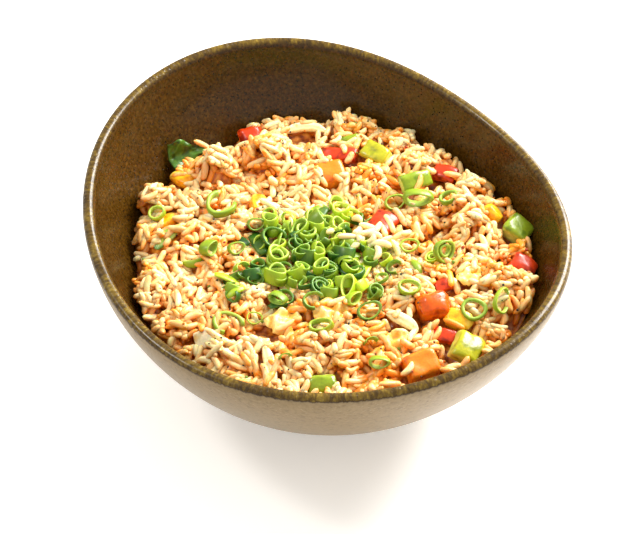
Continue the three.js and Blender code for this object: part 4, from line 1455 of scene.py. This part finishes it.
# Each kind of food: real name, colours of flesh, skin and dark spots, roughness, how much light
# goes through it, and slot
FINISHES = {
    # Sweet red pepper: glassy red skin, duller orange-red flesh
    "red": ("fried_red_pepper", "#dc5a12", "#c63806", "#861c02", 0.3, 0.1, "pepper_red"),
    # Sweet pepper cooked to orange-red, with a wet shine
    "orange": (
        "fried_orange_pepper", "#e8740e", "#dc5a06", "#b03a02", 0.24, 0.15, "carrot_orange",
    ),
    # Sweet green pepper: glossy green skin, pale yellow-green flesh
    "green": ("fried_green_pepper", "#c4ca62", "#8aa01c", "#5e7a14", 0.28, 0.2, "pepper_green"),
    # Sweet pepper between green and yellow, glossy
    "yellow": ("fried_yellow_pepper", "#cccb58", "#b0ae1e", "#848a14", 0.28, 0.2, "pepper_green"),
    # Diced carrot: orange through and through, softly matt
    "carrot": ("fried_carrot", "#f09020", "#ea7e10", "#d05e08", 0.36, 0.2, "carrot_orange"),
    # Maize kernels: taut shiny yellow skin, paler at the tip
    "maize": ("sweet_maize", "#f2b81e", "#f6cf52", "#dc8c0e", 0.25, 0.3, "corn_yellow"),
    # Fried egg: soft yellow, paler on its folds, browned in patches
    "egg": ("fried_egg", "#f4cc5c", "#fce8a0", "#e0a03c", 0.42, 0.3, "egg_yellow"),
    # White onion, cabbage and sprout, cooked until translucent yellow-white
    "onion": ("translucent_onion", "#f4e2a4", "#f8ecc4", "#e2c07a", 0.25, 0.45, "onion_pale"),
    # Cooked green leaf: dark, wrinkled and wet, lighter along its veins
    "leaf": ("cooked_leaf", "#3c6414", "#5c8828", "#264408", 0.3, 0.1, "leaf_green"),
    # Green part of a spring onion, split along: pale green with a darker edge
    "stalk": ("onion_stalk", "#a9c45a", "#8fb23c", "#5c8a20", 0.28, 0.2, "onion_green"),
}


def topping_pieces(*kinds):
    """Makes each topping of these kinds of food."""
    materials = {kind: cooked_vegetable(*FINISHES[kind][:-1]) for kind in kinds}
    wanted = [index for index, row in enumerate(TOPPINGS) if row[-1] in kinds]
    if not wanted:
        raise RuntimeError("no topping of this kind")
    for index in wanted:
        name, kind = TOPPINGS[index][0], TOPPINGS[index][-1]
        points, faces, skin = placed_topping(index)
        piece = outward(mesh_object(f"{name}_piece", points, faces, skin=skin))
        finish_piece(piece, materials[kind], FINISHES[kind][-1], name)


class RICE_OT_pepper(bpy.types.Operator):
    """Diced sweet pepper, red, orange and green"""

    bl_idname = "rice.pepper"
    bl_label = "Sweet Pepper"

    def execute(self, context):
        topping_pieces("red", "orange", "green", "yellow")
        return {"FINISHED"}


class RICE_OT_carrot(bpy.types.Operator):
    """Diced carrot"""

    bl_idname = "rice.carrot"
    bl_label = "Carrot"

    def execute(self, context):
        topping_pieces("carrot")
        return {"FINISHED"}


class RICE_OT_maize(bpy.types.Operator):
    """Maize kernels"""

    bl_idname = "rice.maize"
    bl_label = "Maize"

    def execute(self, context):
        topping_pieces("maize")
        return {"FINISHED"}


class RICE_OT_egg(bpy.types.Operator):
    """Torn pieces of fried egg"""

    bl_idname = "rice.egg"
    bl_label = "Egg"

    def execute(self, context):
        topping_pieces("egg")
        return {"FINISHED"}


class RICE_OT_leaves(bpy.types.Operator):
    """White onion, cabbage, sprout, green leaf and a split stalk"""

    bl_idname = "rice.leaves"
    bl_label = "Onion and Leaf"

    def execute(self, context):
        topping_pieces("onion", "leaf", "stalk")
        return {"FINISHED"}


# Seasoning


def crumb_kind(seed):
    """An irregular crumb 1 mm across."""
    points, faces = grid_block(1)
    ball = points / np.maximum(np.linalg.norm(points, axis=1, keepdims=True), 1e-6) * 0.5
    jitter = [
        [1 + 0.5 * (draw(i + 17 * seed, k) - 0.5) for k in (1, 2, 3)] for i in range(len(ball))
    ]
    return (ball * np.array(jitter)).tolist(), faces, {"inner": [0.0] * len(ball)}


def crumb_material():
    """Cracked pepper, and crumbs of carrot and green, each nearly one colour."""
    material, tree, surface = new_material("cracked_pepper_and_crumbs", Roughness=0.5)
    shade = put(tree, "ShaderNodeAttribute", out="Fac", attribute_name="shade")
    colour = put(
        tree, "ShaderNodeValToRGB", {"Fac": shade},
        ramp=[(0.0, "#1c0d06"), (0.3, "#4a2410"), (0.5, "#a8401a"), (0.75, "#d9882e"),
              (1.0, "#6f8f2a")],
    )
    here = put(tree, "ShaderNodeTexCoord", out="Object")
    grit = put(tree, "ShaderNodeTexNoise", {"Vector": here, "Scale": 1500, "Detail": 3})
    value = put(tree, "ShaderNodeMapRange", {"Value": grit, "To Min": 0.7, "To Max": 1.3})
    colour = put(
        tree, "ShaderNodeHueSaturation", {"Color": colour, "Value": value}, out="Color"
    )
    tree.links.new(colour, surface.inputs["Base Color"])
    return material


class RICE_OT_seasoning(bpy.types.Operator):
    """Cracked pepper and crumbs on the rice"""

    bl_idname = "rice.seasoning"
    bl_label = "Pepper and Crumbs"

    def execute(self, context):
        field = LAID["field"]
        rng = np.random.default_rng(41)
        a = rng.random(CRUMBS) * 2 * math.pi
        r = np.sqrt(rng.random(CRUMBS)) * (edge_radius(a) - 2)
        x, y = r * np.cos(a), r * np.sin(a)
        clear = ~field.covered[field.cell(x, y)] & (in_onion(x, y) > 0.9)
        x, y = x[clear], y[clear]
        grain = rng.uniform(0.3, 0.8, len(x))
        z = field.under(x, y) + 0.2 * grain
        shade = rng.choice([0.0, 0.15, 0.5, 0.75, 1.0], len(x), p=[0.5, 0.26, 0.06, 0.14, 0.04])
        grain *= np.where(shade > 0.4, 1.8, 1)
        material = crumb_material()
        made = scatter(
            "pepper_and_crumbs", [crumb_kind(k) for k in (1, 2, 3)], np.stack([x, y, z], axis=1),
            material, 1.0, 43, turn=rng.uniform(-3, 3, (len(x), 3)),
            size=grain[:, None] * rng.uniform(0.7, 1.3, (len(x), 3)),
            kind=rng.integers(0, 3, len(x)), shade=shade,
        )
        finish_piece(made, material, "rice", "rice")
        return {"FINISHED"}


# Stage


def soft_light(name, at, size, power, colour):
    """A softbox at this place in metres that faces the food."""
    light = bpy.data.lights.new(name, "AREA")
    light.shape = "RECTANGLE"
    light.size, light.size_y = size
    light.energy = power
    light.color = colour
    lamp = bpy.data.objects.new(name, light)
    lamp.location = at
    aim = Vector((0, 0, 0.05)) - Vector(at)
    lamp.rotation_euler = aim.to_track_quat("-Z", "Y").to_euler()
    bpy.context.scene.collection.objects.link(lamp)


class RICE_OT_stage(bpy.types.Operator):
    """Camera, pale floor and soft studio light"""

    bl_idname = "rice.stage"
    bl_label = "Stage"

    def execute(self, context):
        settings = context.scene.rice_stage
        scene = context.scene
        view = bpy.data.cameras.new("camera")
        view.sensor_width = 36
        view.lens = CAMERA_LENS
        camera = bpy.data.objects.new("camera", view)
        camera.location = CAMERA_AT
        camera.rotation_euler = (CAMERA_TILT, 0, 0)
        scene.collection.objects.link(camera)
        scene.camera = camera

        signs = ((-1, -1), (1, -1), (1, 1), (-1, 1))
        corners = [(x * FLOOR_HALF, y * FLOOR_HALF, 0) for x, y in signs]
        floor = mesh_object("floor", corners, [(0, 1, 2, 3)], False)
        paper, tree, surface = new_material("white_paper", Roughness=0.8)
        here = put(tree, "ShaderNodeTexCoord", out="Object")
        tooth = put(tree, "ShaderNodeTexNoise", {"Vector": here, "Scale": 600, "Detail": 2})
        tint = put(
            tree, "ShaderNodeValToRGB", {"Fac": tooth}, ramp=[(0.3, "#f8f6f3"), (0.7, "#fbfaf8")]
        )
        tree.links.new(tint, surface.inputs["Base Color"])
        surface.inputs["Emission Color"].default_value = linear("#fffdfa")
        surface.inputs["Emission Strength"].default_value = 0.3
        floor.data.materials.append(paper)

        sky = bpy.data.worlds.new("sky")
        sky.use_nodes = True
        back = sky.node_tree.nodes["Background"]
        back.inputs["Color"].default_value = linear("#fdfaf5")
        back.inputs["Strength"].default_value = settings.sky
        scene.world = sky
        scene.view_settings.view_transform = "Standard"

        soft_light("key", (0.5, 0.46, 0.62), (0.56, 0.4), settings.key_power, (1, 0.98, 0.95))
        soft_light("fill", (-0.6, 0.08, 0.79), (0.14, 0.2), settings.fill_power, (1, 0.98, 0.95))
        soft_light("rim", (0.45, 0.6, 0.3), (0.4, 0.2), settings.fill_power, (1, 1, 1))
        return {"FINISHED"}


class RICE_PT_panel(bpy.types.Panel):
    bl_idname = "RICE_PT_panel"
    bl_label = "Fried Rice Bowl"
    bl_space_type = "VIEW_3D"
    bl_region_type = "UI"
    bl_category = "Fried Rice"

    def draw(self, context):
        scene = context.scene
        parts = (
            (scene.rice_bowl, ("rice.bowl",)),
            (scene.rice_rice, ("rice.heap", "rice.grains")),
            (scene.rice_onion, ("rice.onion", "rice.top_grains", "rice.strays")),
            (scene.rice_stage, ("rice.stage",)),
        )
        for settings, operators in parts:
            box = self.layout.box()
            for name in settings.__annotations__:
                box.prop(settings, name)
            for name in operators:
                box.operator(name)
        for name in ("pepper", "carrot", "maize", "egg", "leaves", "seasoning"):
            self.layout.operator(f"rice.{name}")


CLASSES = (
    BowlSettings,
    RiceSettings,
    OnionSettings,
    StageSettings,
    RICE_OT_bowl,
    RICE_OT_heap,
    RICE_OT_grains,
    RICE_OT_onion,
    RICE_OT_top_grains,
    RICE_OT_strays,
    RICE_OT_pepper,
    RICE_OT_carrot,
    RICE_OT_maize,
    RICE_OT_egg,
    RICE_OT_leaves,
    RICE_OT_seasoning,
    RICE_OT_stage,
    RICE_PT_panel,
)
SETTINGS = {
    "rice_bowl": BowlSettings,
    "rice_rice": RiceSettings,
    "rice_onion": OnionSettings,
    "rice_stage": StageSettings,
}


def register():
    for made in CLASSES:
        bpy.utils.register_class(made)
    for name, group in SETTINGS.items():
        setattr(bpy.types.Scene, name, bpy.props.PointerProperty(type=group))


def unregister():
    for name in SETTINGS:
        delattr(bpy.types.Scene, name)
    for made in reversed(CLASSES):
        bpy.utils.unregister_class(made)


def main():
    register()
    bpy.ops.rice.stage()
    bpy.ops.rice.bowl()
    bpy.ops.rice.heap()
    bpy.ops.rice.grains()
    bpy.ops.rice.onion()
    bpy.ops.rice.top_grains()
    bpy.ops.rice.strays()
    bpy.ops.rice.pepper()
    bpy.ops.rice.carrot()
    bpy.ops.rice.maize()
    bpy.ops.rice.egg()
    bpy.ops.rice.leaves()
    bpy.ops.rice.seasoning()


if __name__ == "__main__":
    main()
